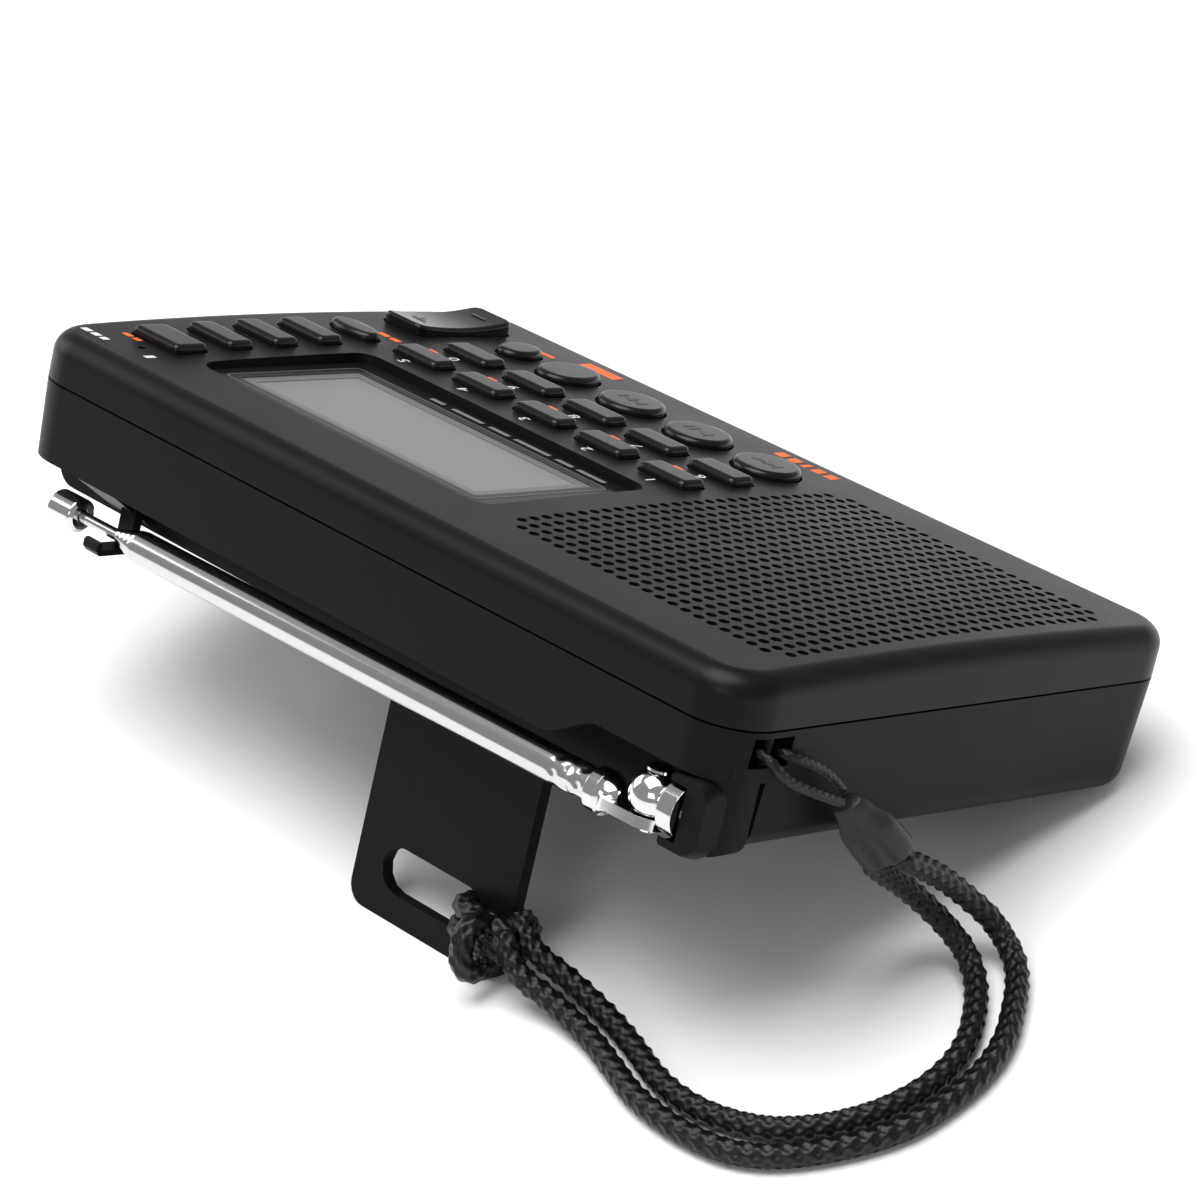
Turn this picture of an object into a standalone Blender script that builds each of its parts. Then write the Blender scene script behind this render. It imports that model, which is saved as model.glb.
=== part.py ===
"""Pocket world-band radio leaning back on its open kickstand, with its wrist strap looped on the table.

Case frame: x runs along the long side from the case's left end, y runs up the face from its lower
edge, z comes out of the face, and the highest line of the gently crowned face is z = 0. The case
frame is then tilted so that the rear lower edge and the foot of the stand touch the table.
Table frame: x as in the case frame, y along the table, z is the height above the table.
"""
import math

import bmesh
import bpy
from mathutils import Matrix, Vector

MM = 0.001

# ---- driving sizes -------------------------------------------------------------------------------
CASE_LENGTH = 120.0 * MM
CASE_HEIGHT = 79.4 * MM
CASE_DEPTH = 21.5 * MM
CORNER_RADIUS = 6.9 * MM
CROWN_RADIUS = 847.0 * MM        # the face is a very flat cylinder, curved up its height
FRONT_RIM = 6.75 * MM            # depth of the seam below the face
SEAM_GAP = 0.25 * MM
FRONT_EDGE_RADIUS = 2.6 * MM
REAR_EDGE_RADIUS = 3.0 * MM
REAR_DRAFT = 0.6 * MM
SIDE_WALL = 1.8 * MM
FACE_WALL = 2.0 * MM
REAR_WALL = 1.8 * MM
GAP = 0.3 * MM
MESH_STEP = 1.0 * MM             # how far a cutter runs past the face it cuts

# ---- display -------------------------------------------------------------------------------------
LENS_LENGTH = 49.9 * MM
LENS_HEIGHT = 28.1 * MM
LENS_THICKNESS = 1.15 * MM
LENS_DEPTH = 1.2 * MM
LENS_CORNER = 2.5 * MM
LENS_FROM_RIGHT = 17.85 * MM
LENS_FROM_TOP = 11.45 * MM
LENS_LEDGE = 2.1 * MM
LCD_THICKNESS = 2.9 * MM
FRAME_DEPTH = 4.2 * MM

# ---- keys ----------------------------------------------------------------------------------------
KEY_RISE = 1.05 * MM
KEY_GAP = 0.25 * MM
KEY_FLANGE = 0.8 * MM
KEY_FLANGE_THICKNESS = 0.8 * MM
KEY_CORNER = 0.9 * MM
KEY_EDGE = 0.3 * MM
KEY_TRAVEL = 0.6 * MM
NUMBER_KEY = (7.9 * MM, 4.3 * MM)
NUMBER_PITCH_X = 10.95 * MM
NUMBER_PITCH_Y = 9.0 * MM
NUMBER_LEFT_X_FROM_RIGHT = 65.1 * MM
NUMBER_ROW_FROM_TOP = 46.25 * MM
WIDE_KEY = (8.6 * MM, 5.4 * MM)
WIDE_KEY_FROM_TOP = 13.0 * MM
SIDE_KEY = (8.5 * MM, 4.1 * MM)
SIDE_KEY_PITCH = 7.6 * MM
SIDE_KEY_FROM_TOP = 21.2 * MM
SIDE_COLUMN_FROM_RIGHT = 10.3 * MM
OVAL_SIDE_KEY = (7.8 * MM, 4.4 * MM)
OVAL_SIDE_KEY_FROM_TOP = 44.3 * MM
ROCKER = (7.2 * MM, 17.4 * MM)
ROCKER_RISE = 1.7 * MM
ROCKER_SAG = 0.7 * MM
ROCKER_FROM_RIGHT = 8.8 * MM
ROCKER_FROM_TOP = 62.4 * MM
ROCKER_SWING = 2.0
SMALL_OVAL = (5.0 * MM, 6.8 * MM)
SMALL_OVAL_FROM_RIGHT = 19.8 * MM
LARGE_OVAL = (7.4 * MM, 9.4 * MM)
LARGE_OVAL_FROM_RIGHT = 28.9 * MM
ROUND_KEY = (8.6 * MM, 9.2 * MM)
ROUND_KEY_FROM_RIGHT = 40.4 * MM
ROUND_PITCH = 11.8 * MM
LOWER_ROW_FROM_TOP = 65.0 * MM

# ---- loudspeaker and grille ----------------------------------------------------------------------
GRILLE_LEFT = 5.0 * MM
GRILLE_RIGHT = 47.0 * MM
GRILLE_BOTTOM = 12.6 * MM
GRILLE_TOP_FROM_TOP = 10.8 * MM
GRILLE_COLUMNS = 8
GRILLE_ROWS = 9
GRILLE_HOLE = 2.6 * MM
SPEAKER_X = 26.0 * MM
SPEAKER_RADIUS = 19.5 * MM
SPEAKER_DEPTH = 13.0 * MM
MAGNET_RADIUS = 9.0 * MM

# ---- stand ---------------------------------------------------------------------------------------
STAND_WIDTH = 25.5 * MM
STAND_LEFT = 32.2 * MM
STAND_THICKNESS = 1.7 * MM
STAND_FACE_FROM_TOP = 9.4 * MM   # outer face of the open stand, below the case's top edge
STAND_REACH = 30.1 * MM          # from the case's back to the foot
STAND_FOOT_CORNER = 2.6 * MM
STAND_HINGE_DEPTH = 1.15 * MM    # hinge line, in from the case's back
STAND_STUB_RADIUS = 0.6 * MM
STAND_STUB_LENGTH = 1.3 * MM
STAND_SLOT_LENGTH = 16.8 * MM
STAND_SLOT_HEIGHT = 5.8 * MM
STAND_SLOT_FROM_FOOT = 3.5 * MM
STAND_RECESS_DEPTH = 2.4 * MM

# ---- antenna -------------------------------------------------------------------------------------
ANTENNA_FROM_TOP = 2.4 * MM      # antenna line, below the case's top edge
SWIVEL_DEPTH = 17.8 * MM         # swivel axis, behind the face
PIVOT_X = 10.3 * MM
PIVOT_DEPTH = 20.36 * MM         # tube axis at the pivot, behind the face
ANTENNA_DROOP = 0.81             # degrees that the stowed tubes slope away from the case's back
TUBE_RADIUS = 2.08 * MM
TUBE_WALL = 0.22 * MM
TUBE_CLEARANCE = 0.12 * MM
TUBE_COUNT = 4
TUBE_START = 8.4 * MM            # from the pivot
TUBE_END_FROM_RIGHT = 23.0 * MM  # mouth of the outer tube
TUBE_STEP_OUT = 1.1 * MM         # each inner tube shows by this much
ROD_SHOWS = 7.1 * MM
TUBE_OVERLAP = 10.0 * MM
TIP_RADIUS = 2.15 * MM
TIP_LENGTH = 4.9 * MM
COLLAR_RADIUS = 2.65 * MM
COLLAR_LENGTH = 2.1 * MM
TONGUE_WIDTH = 5.2 * MM
TONGUE_THICKNESS = 1.3 * MM
BALL_RADIUS = 3.0 * MM
SWIVEL_RING_RADIUS = 3.3 * MM
BORE_RADIUS = 3.8 * MM
BOSS_RADIUS = 4.75 * MM
BOSS_FACE_X = 7.0 * MM
CHANNEL_WIDTH = 7.9 * MM         # from the case's top edge to the channel's back wall
CHANNEL_DEPTH = 4.8 * MM         # from the case's back to the channel's ceiling
SCOOP_DEPTH = 8.5 * MM           # the same, round the swivel and in the finger scoop
SCOOP_FROM_X = 18.5 * MM
SCOOP_TO_X = 27.0 * MM
CLIP_FROM_RIGHT = 18.5 * MM
CLIP_WIDTH = 7.0 * MM

# ---- inside --------------------------------------------------------------------------------------
BOARD_THICKNESS = 1.2 * MM
BOARD_LEFT = 49.5 * MM
BATTERY = (53.0 * MM, 34.0 * MM, 5.6 * MM)
BATTERY_Y = 15.0 * MM
BATTERY_FROM_RIGHT = 3.4 * MM
COVER_THICKNESS = 1.5 * MM
COVER_MARGIN_X = 3.4 * MM        # the cover passes the battery's inner end by this much
COVER_MARGIN_Y = 3.5 * MM        # and each long side by this much
COVER_TRAVEL = 8.0 * MM
SCREW_RADIUS = 1.0 * MM
SCREW_HEAD_RADIUS = 2.1 * MM
BOSS_WALL = 1.5 * MM
FERRITE_RADIUS = 3.5 * MM
FERRITE_LENGTH = 48.0 * MM

# ---- strap ---------------------------------------------------------------------------------------
CORD_DIAMETER = 3.0 * MM
THIN_CORD_DIAMETER = 1.3 * MM
POCKET_Y_FROM_TOP = 7.6 * MM
POCKET_WIDTH = 6.0 * MM
POCKET_HEIGHT = 3.5 * MM
POCKET_DEPTH = 3.9 * MM
POST_RADIUS = 0.7 * MM

FACE_MIDDLE = CASE_HEIGHT / 2


# ---- small helpers -------------------------------------------------------------------------------
def material(name, color, roughness, metallic=0.0):
    """A plain Principled material."""
    made = bpy.data.materials.new(name)
    made.use_nodes = True
    shader = made.node_tree.nodes["Principled BSDF"]
    shader.inputs["Base Color"].default_value = (*color, 1.0)
    shader.inputs["Roughness"].default_value = roughness
    shader.inputs["Metallic"].default_value = metallic
    made.diffuse_color = (*color, 1.0)
    return made


def face_z(y):
    """Height of the crowned face at y."""
    return -((y - FACE_MIDDLE) ** 2) / (2 * CROWN_RADIUS)


def level(z):
    return lambda y: z


def crowned(z):
    return lambda y: z + face_z(y)


def box_ring(rect, radius, height_at, corner_steps=2, side_steps=1):
    """Points round a rounded rectangle, counter-clockwise from its lower right corner arc."""
    x0, x1, y0, y1 = rect
    corners = ((x1 - radius, y0 + radius, -90), (x1 - radius, y1 - radius, 0),
               (x0 + radius, y1 - radius, 90), (x0 + radius, y0 + radius, 180))
    points = []
    for number, (cx, cy, start) in enumerate(corners):
        for step in range(corner_steps + 1):
            angle = math.radians(start + 90 * step / corner_steps)
            points.append((cx + radius * math.cos(angle), cy + radius * math.sin(angle)))
        if number in (0, 2):
            low, high = y0 + radius, y1 - radius
            for step in range(1, side_steps):
                share = step / side_steps if number == 0 else 1 - step / side_steps
                points.append((x1 if number == 0 else x0, low + (high - low) * share))
    return [Vector((x, y, height_at(y))) for x, y in points]


def oval_ring(rect, height_at, count=16):
    """Points round an ellipse that fills rect, even count, paired left to right."""
    x0, x1, y0, y1 = rect
    points = []
    for step in range(count):
        angle = math.radians(-90 + 360 * (step + 0.5) / count)
        x = (x0 + x1) / 2 + (x1 - x0) / 2 * math.cos(angle)
        y = (y0 + y1) / 2 + (y1 - y0) / 2 * math.sin(angle)
        points.append(Vector((x, y, height_at(y))))
    return points


def cap(mesh, loop):
    """Close a ring with strips that run straight across it."""
    half = len(loop) // 2
    right, left = loop[:half], loop[half:][::-1]
    for step in range(half - 1):
        mesh.faces.new((right[step], right[step + 1], left[step + 1], left[step]))


def skin(mesh, rings, closed=False):
    """Bridge rings in order; cap both ends, or join the last ring to the first."""
    loops = [[mesh.verts.new(point) for point in ring] for ring in rings]
    pairs = list(zip(loops, loops[1:]))
    if closed:
        pairs.append((loops[-1], loops[0]))
    for low, high in pairs:
        count = len(low)
        for step in range(count):
            after = (step + 1) % count
            mesh.faces.new((low[step], low[after], high[after], high[step]))
    if not closed:
        cap(mesh, loops[0])
        cap(mesh, loops[-1])


def block(mesh, low, high):
    """A box between two corners."""
    rings = []
    for z in (low[2], high[2]):
        rings.append([Vector((high[0], low[1], z)), Vector((high[0], high[1], z)),
                      Vector((low[0], high[1], z)), Vector((low[0], low[1], z))])
    skin(mesh, rings)


def prism(mesh, points, axis, start, end):
    """A flat outline pushed along an axis; points give the other two coordinates in x, y, z order."""
    def place(point, at):
        spot = list(point)
        spot.insert("xyz".index(axis), at)
        return mesh.verts.new(spot)
    low = [place(point, start) for point in points]
    high = [place(point, end) for point in points]
    mesh.faces.new(low)
    mesh.faces.new(high[::-1])
    count = len(points)
    for step in range(count):
        after = (step + 1) % count
        mesh.faces.new((low[step], high[step], high[after], low[after]))


def turned(mesh, profile, axis, centre, segments=20, closed=False, phase=0.5):
    """Turn (along, radius) points about an axis through centre; closed profiles make rings."""
    along = Vector([1.0 if letter == axis else 0.0 for letter in "xyz"])
    side = Vector([1.0 if letter == {"x": "y", "y": "z", "z": "x"}[axis] else 0.0 for letter in "xyz"])
    other = along.cross(side)
    rings = []
    for distance, radius in profile:
        if radius < 1e-9:
            rings.append([mesh.verts.new(Vector(centre) + along * distance)])
            continue
        ring = []
        for step in range(segments):
            angle = 2 * math.pi * (step + phase) / segments
            offset = side * math.cos(angle) * radius + other * math.sin(angle) * radius
            ring.append(mesh.verts.new(Vector(centre) + along * distance + offset))
        rings.append(ring)
    pairs = list(zip(rings, rings[1:]))
    if closed:
        pairs.append((rings[-1], rings[0]))
    for low, high in pairs:
        for step in range(segments):
            after = (step + 1) % segments
            if len(low) == 1:
                mesh.faces.new((low[0], high[after], high[step]))
            elif len(high) == 1:
                mesh.faces.new((low[step], low[after], high[0]))
            else:
                mesh.faces.new((low[step], low[after], high[after], high[step]))
    if not closed:
        for ring in (rings[0], rings[-1]):
            if len(ring) > 1:
                mesh.faces.new(ring)


def rod(mesh, axis, centre, radius, start, end, segments=16):
    turned(mesh, [(start, radius), (end, radius)], axis, centre, segments)


CASE = None
TABLE = None


def node(name, build, look, parent=None, origin=(0, 0, 0), smooth=35):
    """Make one object from build(mesh), with its origin moved to a chosen point."""
    mesh = bmesh.new()
    build(mesh)
    bmesh.ops.recalc_face_normals(mesh, faces=mesh.faces)
    bmesh.ops.translate(mesh, verts=mesh.verts, vec=-Vector(origin))
    data = bpy.data.meshes.new(name)
    mesh.to_mesh(data)
    mesh.free()
    data.shade_smooth()
    data.set_sharp_from_angle(angle=math.radians(smooth))
    made = bpy.data.objects.new(name, data)
    bpy.context.scene.collection.objects.link(made)
    made.parent = parent if parent else CASE
    made.location = origin
    if look:
        data.materials.append(look)
    return made


def cutter(name, build, parent=None):
    """A helper solid that cuts or joins, and isn't a piece itself."""
    made = node(name, build, None, parent)
    made.hide_render = True
    made.display_type = "WIRE"
    return made


def combine(target, tool, operation):
    step = target.modifiers.new(tool.name, "BOOLEAN")
    step.operation = operation
    step.object = tool
    step.solver = "EXACT"


# ---- the case ------------------------------------------------------------------------------------
def plan(inset):
    return (inset, CASE_LENGTH - inset, inset, CASE_HEIGHT - inset)


def case_ring(inset, height_at):
    radius = max(CORNER_RADIUS - inset, 1.5 * MM)
    return box_ring(plan(inset), radius, height_at, corner_steps=4, side_steps=6)


def front_outer_rings():
    rings = [case_ring(0, level(-FRONT_RIM))]
    for degrees in (0, 30, 60, 90):
        angle = math.radians(degrees)
        inset = FRONT_EDGE_RADIUS * (1 - math.cos(angle))
        rings.append(case_ring(inset, crowned(-FRONT_EDGE_RADIUS * (1 - math.sin(angle)))))
    return rings


def rear_outer_rings():
    rings = [case_ring(0, level(-FRONT_RIM - SEAM_GAP))]
    for degrees in (0, 22.5, 45, 67.5, 90):
        angle = math.radians(degrees)
        inset = REAR_DRAFT + REAR_EDGE_RADIUS * (1 - math.cos(angle))
        rings.append(case_ring(inset, level(-CASE_DEPTH + REAR_EDGE_RADIUS * (1 - math.sin(angle)))))
    return rings


def shell(mesh, outer, inner):
    """A cup: outer rings from the rim to the floor, inner rings from the rim to the floor."""
    loops = [[mesh.verts.new(point) for point in ring] for ring in outer[::-1] + inner]
    for low, high in zip(loops, loops[1:]):
        count = len(low)
        for step in range(count):
            after = (step + 1) % count
            mesh.faces.new((low[step], low[after], high[after], high[step]))
    cap(mesh, loops[0])
    cap(mesh, loops[-1])


def front_shell(mesh):
    inner = [case_ring(SIDE_WALL, level(-FRONT_RIM)),
             case_ring(SIDE_WALL + 0.6 * MM, crowned(-FACE_WALL))]
    shell(mesh, front_outer_rings(), inner)


def rear_shell(mesh):
    inner = [case_ring(SIDE_WALL, level(-FRONT_RIM - SEAM_GAP)),
             case_ring(SIDE_WALL + REAR_DRAFT, level(-CASE_DEPTH + REAR_WALL))]
    shell(mesh, rear_outer_rings(), inner)


# ---- places that several pieces share ------------------------------------------------------------
LENS_RIGHT = CASE_LENGTH - LENS_FROM_RIGHT
LENS_LEFT = LENS_RIGHT - LENS_LENGTH
LENS_TOP = CASE_HEIGHT - LENS_FROM_TOP
LENS_BOTTOM = LENS_TOP - LENS_HEIGHT
LENS_RECT = (LENS_LEFT, LENS_RIGHT, LENS_BOTTOM, LENS_TOP)
KEY_BOTTOM = FACE_WALL + 0.4 * MM + KEY_FLANGE_THICKNESS
GRILLE_TOP = CASE_HEIGHT - GRILLE_TOP_FROM_TOP
SPEAKER_Y = (GRILLE_BOTTOM + GRILLE_TOP) / 2
REAR_INSIDE = -CASE_DEPTH + REAR_WALL
CHANNEL_BACK = CASE_HEIGHT - CHANNEL_WIDTH
CHANNEL_CEILING = -CASE_DEPTH + CHANNEL_DEPTH
SCOOP_CEILING = -CASE_DEPTH + SCOOP_DEPTH
ANTENNA_Y = CASE_HEIGHT - ANTENNA_FROM_TOP
STAND_FACE_Y = CASE_HEIGHT - STAND_FACE_FROM_TOP
STAND_MIDDLE_Y = STAND_FACE_Y - STAND_THICKNESS / 2
STAND_HINGE = Vector((STAND_LEFT + STAND_WIDTH / 2, STAND_MIDDLE_Y, -CASE_DEPTH + STAND_HINGE_DEPTH))
STAND_FOOT_Z = -CASE_DEPTH - STAND_REACH
BOARD_TOP = -FRONT_RIM + 0.45 * MM
BOARD_BOTTOM = BOARD_TOP - BOARD_THICKNESS
BATTERY_RIGHT = CASE_LENGTH - BATTERY_FROM_RIGHT
BATTERY_LEFT = BATTERY_RIGHT - BATTERY[0]
COVER_LEFT = BATTERY_LEFT - COVER_MARGIN_X
COVER_LOW = BATTERY_Y - COVER_MARGIN_Y
COVER_HIGH = BATTERY_Y + BATTERY[1] + COVER_MARGIN_Y
COVER_TOP = -CASE_DEPTH + COVER_THICKNESS
LEDGE_TOP = COVER_TOP + GAP + 1.6 * MM
BATTERY_BOTTOM = COVER_TOP + 0.6 * MM
SCREWS = ((8.5 * MM, 7.5 * MM), (14.0 * MM, CASE_HEIGHT - 15.4 * MM),
          (50.0 * MM, 6.8 * MM), (CASE_LENGTH - 16.7 * MM, 6.3 * MM))
SCREW_SEAT = -CASE_DEPTH + 3.0 * MM
POCKET_Y = CASE_HEIGHT - POCKET_Y_FROM_TOP
POCKET_TOP = -FRONT_RIM - SEAM_GAP - 0.7 * MM
POCKET_BOTTOM = POCKET_TOP - POCKET_HEIGHT
CLIP_RIGHT = CASE_LENGTH - CLIP_FROM_RIGHT + CLIP_WIDTH


def around(x, y, size):
    return (x - size[0] / 2, x + size[0] / 2, y - size[1] / 2, y + size[1] / 2)


def grown(rect, by):
    return (rect[0] - by, rect[1] + by, rect[2] - by, rect[3] + by)


def key_table():
    """Every push key: name, outline rectangle and whether it is oval."""
    column = CASE_LENGTH - SIDE_COLUMN_FROM_RIGHT
    keys = [("key_wide", around(column, CASE_HEIGHT - WIDE_KEY_FROM_TOP, WIDE_KEY), False)]
    for number in range(3):
        y = CASE_HEIGHT - SIDE_KEY_FROM_TOP - number * SIDE_KEY_PITCH
        keys.append((f"key_side_{number + 1}", around(column, y, SIDE_KEY), False))
    y = CASE_HEIGHT - OVAL_SIDE_KEY_FROM_TOP
    keys.append(("key_side_oval", around(column, y, OVAL_SIDE_KEY), True))
    for number in range(10):
        x = CASE_LENGTH - NUMBER_LEFT_X_FROM_RIGHT + (number % 5) * NUMBER_PITCH_X
        y = CASE_HEIGHT - NUMBER_ROW_FROM_TOP - (number // 5) * NUMBER_PITCH_Y
        keys.append((f"key_number_{(number + 1) % 10}", around(x, y, NUMBER_KEY), False))
    y = CASE_HEIGHT - LOWER_ROW_FROM_TOP
    keys.append(("key_small_oval", around(CASE_LENGTH - SMALL_OVAL_FROM_RIGHT, y, SMALL_OVAL), True))
    keys.append(("key_large_oval", around(CASE_LENGTH - LARGE_OVAL_FROM_RIGHT, y, LARGE_OVAL), True))
    for number in range(3):
        x = CASE_LENGTH - ROUND_KEY_FROM_RIGHT - number * ROUND_PITCH
        keys.append((f"key_transport_{number + 1}", around(x, y, ROUND_KEY), True))
    return keys


ROCKER_RECT = around(CASE_LENGTH - ROCKER_FROM_RIGHT, CASE_HEIGHT - ROCKER_FROM_TOP, ROCKER)


def key_ring(rect, oval, height_at, out=0.0):
    if oval:
        return oval_ring(grown(rect, out), height_at)
    return box_ring(grown(rect, out), KEY_CORNER + max(out, -0.5 * MM), height_at)


def middle_face(rect):
    return face_z((rect[2] + rect[3]) / 2)


def key_body(rect, oval):
    def build(mesh):
        face = middle_face(rect)
        flange_top = face - FACE_WALL - 0.4 * MM
        rings = [key_ring(rect, oval, level(flange_top - KEY_FLANGE_THICKNESS), KEY_FLANGE),
                 key_ring(rect, oval, level(flange_top), KEY_FLANGE),
                 key_ring(rect, oval, level(flange_top)),
                 key_ring(rect, oval, level(face + KEY_RISE - KEY_EDGE)),
                 key_ring(rect, oval, level(face + KEY_RISE), -KEY_EDGE)]
        skin(mesh, rings)
    return build


def rocker_body(mesh):
    face = middle_face(ROCKER_RECT)
    middle = (ROCKER_RECT[2] + ROCKER_RECT[3]) / 2
    flange_top = face - FACE_WALL - 0.7 * MM

    def top(drop):
        def height_at(y):
            away = (y - middle) / (ROCKER[1] / 2)
            return face + ROCKER_RISE - drop - ROCKER_SAG * (1 - min(1, away * away))
        return height_at

    def ring(height_at, out=0.0):
        return box_ring(grown(ROCKER_RECT, out), 1.4 * MM + out, height_at, 2, 8)
    skin(mesh, [ring(level(flange_top - KEY_FLANGE_THICKNESS), KEY_FLANGE),
                ring(level(flange_top), KEY_FLANGE), ring(level(flange_top)),
                ring(top(0.35 * MM)), ring(top(0), -0.35 * MM)])


def front_additions(mesh):
    """Window frame and screw bosses moulded inside the front."""
    block(mesh, (LENS_LEFT - 2 * MM, LENS_BOTTOM - 2 * MM, -FRAME_DEPTH),
          (LENS_RIGHT + 2 * MM, LENS_TOP + 1.6 * MM, -FACE_WALL + 0.4 * MM))
    for x, y in SCREWS:
        rod(mesh, "z", (x, y, 0), SCREW_RADIUS + BOSS_WALL, -FRONT_RIM, -FACE_WALL + 0.3 * MM, 12)


def grille_places():
    for column in range(GRILLE_COLUMNS):
        for row in range(GRILLE_ROWS):
            x = GRILLE_LEFT + (GRILLE_RIGHT - GRILLE_LEFT) * column / (GRILLE_COLUMNS - 1)
            y = GRILLE_BOTTOM + (GRILLE_TOP - GRILLE_BOTTOM) * row / (GRILLE_ROWS - 1)
            corner = column in (0, GRILLE_COLUMNS - 1) and row in (0, GRILLE_ROWS - 1)
            if not corner:
                yield x, y


def front_cuts(mesh):
    """Window, key openings, grille, microphone hole and screw holes."""
    top, bottom = MESH_STEP, -FRAME_DEPTH - MESH_STEP
    recess = grown(LENS_RECT, 0.2 * MM)
    floor = -LENS_DEPTH - LENS_THICKNESS - 0.25 * MM
    skin(mesh, [box_ring(grown(LENS_RECT, -LENS_LEDGE), 1 * MM, level(bottom)),
                box_ring(grown(LENS_RECT, -LENS_LEDGE), 1 * MM, level(floor)),
                box_ring(recess, LENS_CORNER, level(floor)),
                box_ring(recess, LENS_CORNER, level(top))])
    for name, rect, oval in key_table():
        skin(mesh, [key_ring(rect, oval, level(bottom), KEY_GAP), key_ring(rect, oval, level(top), KEY_GAP)])
    opening = grown(ROCKER_RECT, KEY_GAP)
    skin(mesh, [box_ring(opening, 1.6 * MM, level(bottom)), box_ring(opening, 1.6 * MM, level(top))])
    for x, y in grille_places():
        rod(mesh, "z", (x, y, 0), GRILLE_HOLE / 2, -FACE_WALL - 2 * MM, top, 6)
    rod(mesh, "z", MICROPHONE, 0.5 * MM, bottom, top, 8)
    for x, y in SCREWS:
        rod(mesh, "z", (x, y, 0), SCREW_RADIUS + 0.15 * MM, -FRONT_RIM - MESH_STEP, -FACE_WALL - 0.9 * MM, 12)


MICROPHONE = Vector((CASE_LENGTH - 11.4 * MM, CASE_HEIGHT - 7.6 * MM, 0))


# ---- rear housing --------------------------------------------------------------------------------
def scoop_outline():
    """The recess along the rear top edge: deep round the swivel, easing to the channel's depth."""
    back = -CASE_DEPTH - MESH_STEP
    points = [(CASE_LENGTH + MESH_STEP, back), (CASE_LENGTH + MESH_STEP, CHANNEL_CEILING)]
    steps = 6
    for step in range(steps + 1):
        share = step / steps
        ease = share * share * (3 - 2 * share)
        x = SCOOP_TO_X + (SCOOP_FROM_X - SCOOP_TO_X) * share
        points.append((x, CHANNEL_CEILING + (SCOOP_CEILING - CHANNEL_CEILING) * ease))
    points += [(-MESH_STEP, SCOOP_CEILING), (-MESH_STEP, back)]
    return points


def channel_wall(mesh):
    """Stepped thick wall behind the antenna channel and the finger scoop."""
    inside = SIDE_WALL - 0.4 * MM
    low, step = REAR_INSIDE - 0.7 * MM, SCOOP_TO_X + 2 * MM
    points = [(inside, low), (CASE_LENGTH - inside, low), (CASE_LENGTH - inside, CHANNEL_CEILING + 1.8 * MM),
              (step, CHANNEL_CEILING + 1.8 * MM), (step, SCOOP_CEILING + 1.8 * MM), (inside, SCOOP_CEILING + 1.8 * MM)]
    prism(mesh, points, "y", CHANNEL_BACK - 1.8 * MM, CASE_HEIGHT - REAR_DRAFT - 0.9 * MM)


def wall_limit(mesh):
    """Keeps the channel's wall inside the case's rounded corners."""
    inset = REAR_DRAFT + 0.4 * MM
    skin(mesh, [case_ring(inset, level(-CASE_DEPTH)), case_ring(inset, level(0))])


def rear_stand_wall(mesh):
    low, high = REAR_INSIDE - 0.7 * MM, -CASE_DEPTH + STAND_RECESS_DEPTH + 1.7 * MM
    block(mesh, (STAND_LEFT - 3.2 * MM, STAND_HINGE.y - STAND_REACH - 4 * MM, low),
          (STAND_LEFT + STAND_WIDTH + 3.2 * MM, CHANNEL_BACK - 0.5 * MM, high))


def rear_battery_wall(mesh):
    block(mesh, (COVER_LEFT - 1.5 * MM, COVER_LOW - 1.5 * MM, REAR_INSIDE - 0.7 * MM),
          (CASE_LENGTH - SIDE_WALL + 0.2 * MM, COVER_HIGH + 1.5 * MM, LEDGE_TOP))


def rear_small_additions(mesh):
    for x, y in SCREWS:
        rod(mesh, "z", (x, y, 0), SCREW_HEAD_RADIUS + BOSS_WALL, REAR_INSIDE - 0.7 * MM,
            -FRONT_RIM - SEAM_GAP - 0.05 * MM, 14)


def rear_pocket_wall(mesh):
    block(mesh, (SIDE_WALL - 0.5 * MM, POCKET_Y - POCKET_WIDTH / 2 - 1.5 * MM, POCKET_BOTTOM - 1.5 * MM),
          (POCKET_DEPTH + 1.6 * MM, POCKET_Y + POCKET_WIDTH / 2 + 1.5 * MM, -FRONT_RIM - SEAM_GAP - 0.05 * MM))


def rear_cuts(mesh):
    """Antenna recess, stand recess, hinge holes, cover recess, battery opening, sockets, screws."""
    prism(mesh, scoop_outline(), "y", CHANNEL_BACK, CASE_HEIGHT + MESH_STEP)


def stand_recess(mesh):
    side = GAP
    y0 = STAND_HINGE.y - STAND_REACH - STAND_HINGE_DEPTH - 0.5 * MM
    block(mesh, (STAND_LEFT - side, y0, -CASE_DEPTH - MESH_STEP),
          (STAND_LEFT + STAND_WIDTH + side, STAND_FACE_Y + GAP, -CASE_DEPTH + STAND_RECESS_DEPTH))


def hinge_holes(mesh):
    reach = STAND_STUB_LENGTH + 0.4 * MM
    rod(mesh, "x", STAND_HINGE, STAND_STUB_RADIUS + 0.12 * MM,
        -STAND_WIDTH / 2 - reach, STAND_WIDTH / 2 + reach, 12)


def cover_recess(mesh):
    block(mesh, (COVER_LEFT - 0.25 * MM, COVER_LOW - 0.25 * MM, -CASE_DEPTH - MESH_STEP),
          (CASE_LENGTH + MESH_STEP, COVER_HIGH + 0.25 * MM, COVER_TOP + 0.25 * MM))


def battery_opening(mesh):
    block(mesh, (BATTERY_LEFT - 0.4 * MM, BATTERY_Y - 0.4 * MM, COVER_TOP - MESH_STEP),
          (BATTERY_RIGHT + 0.4 * MM, BATTERY_Y + BATTERY[1] + 0.4 * MM, LEDGE_TOP + MESH_STEP))


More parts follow.
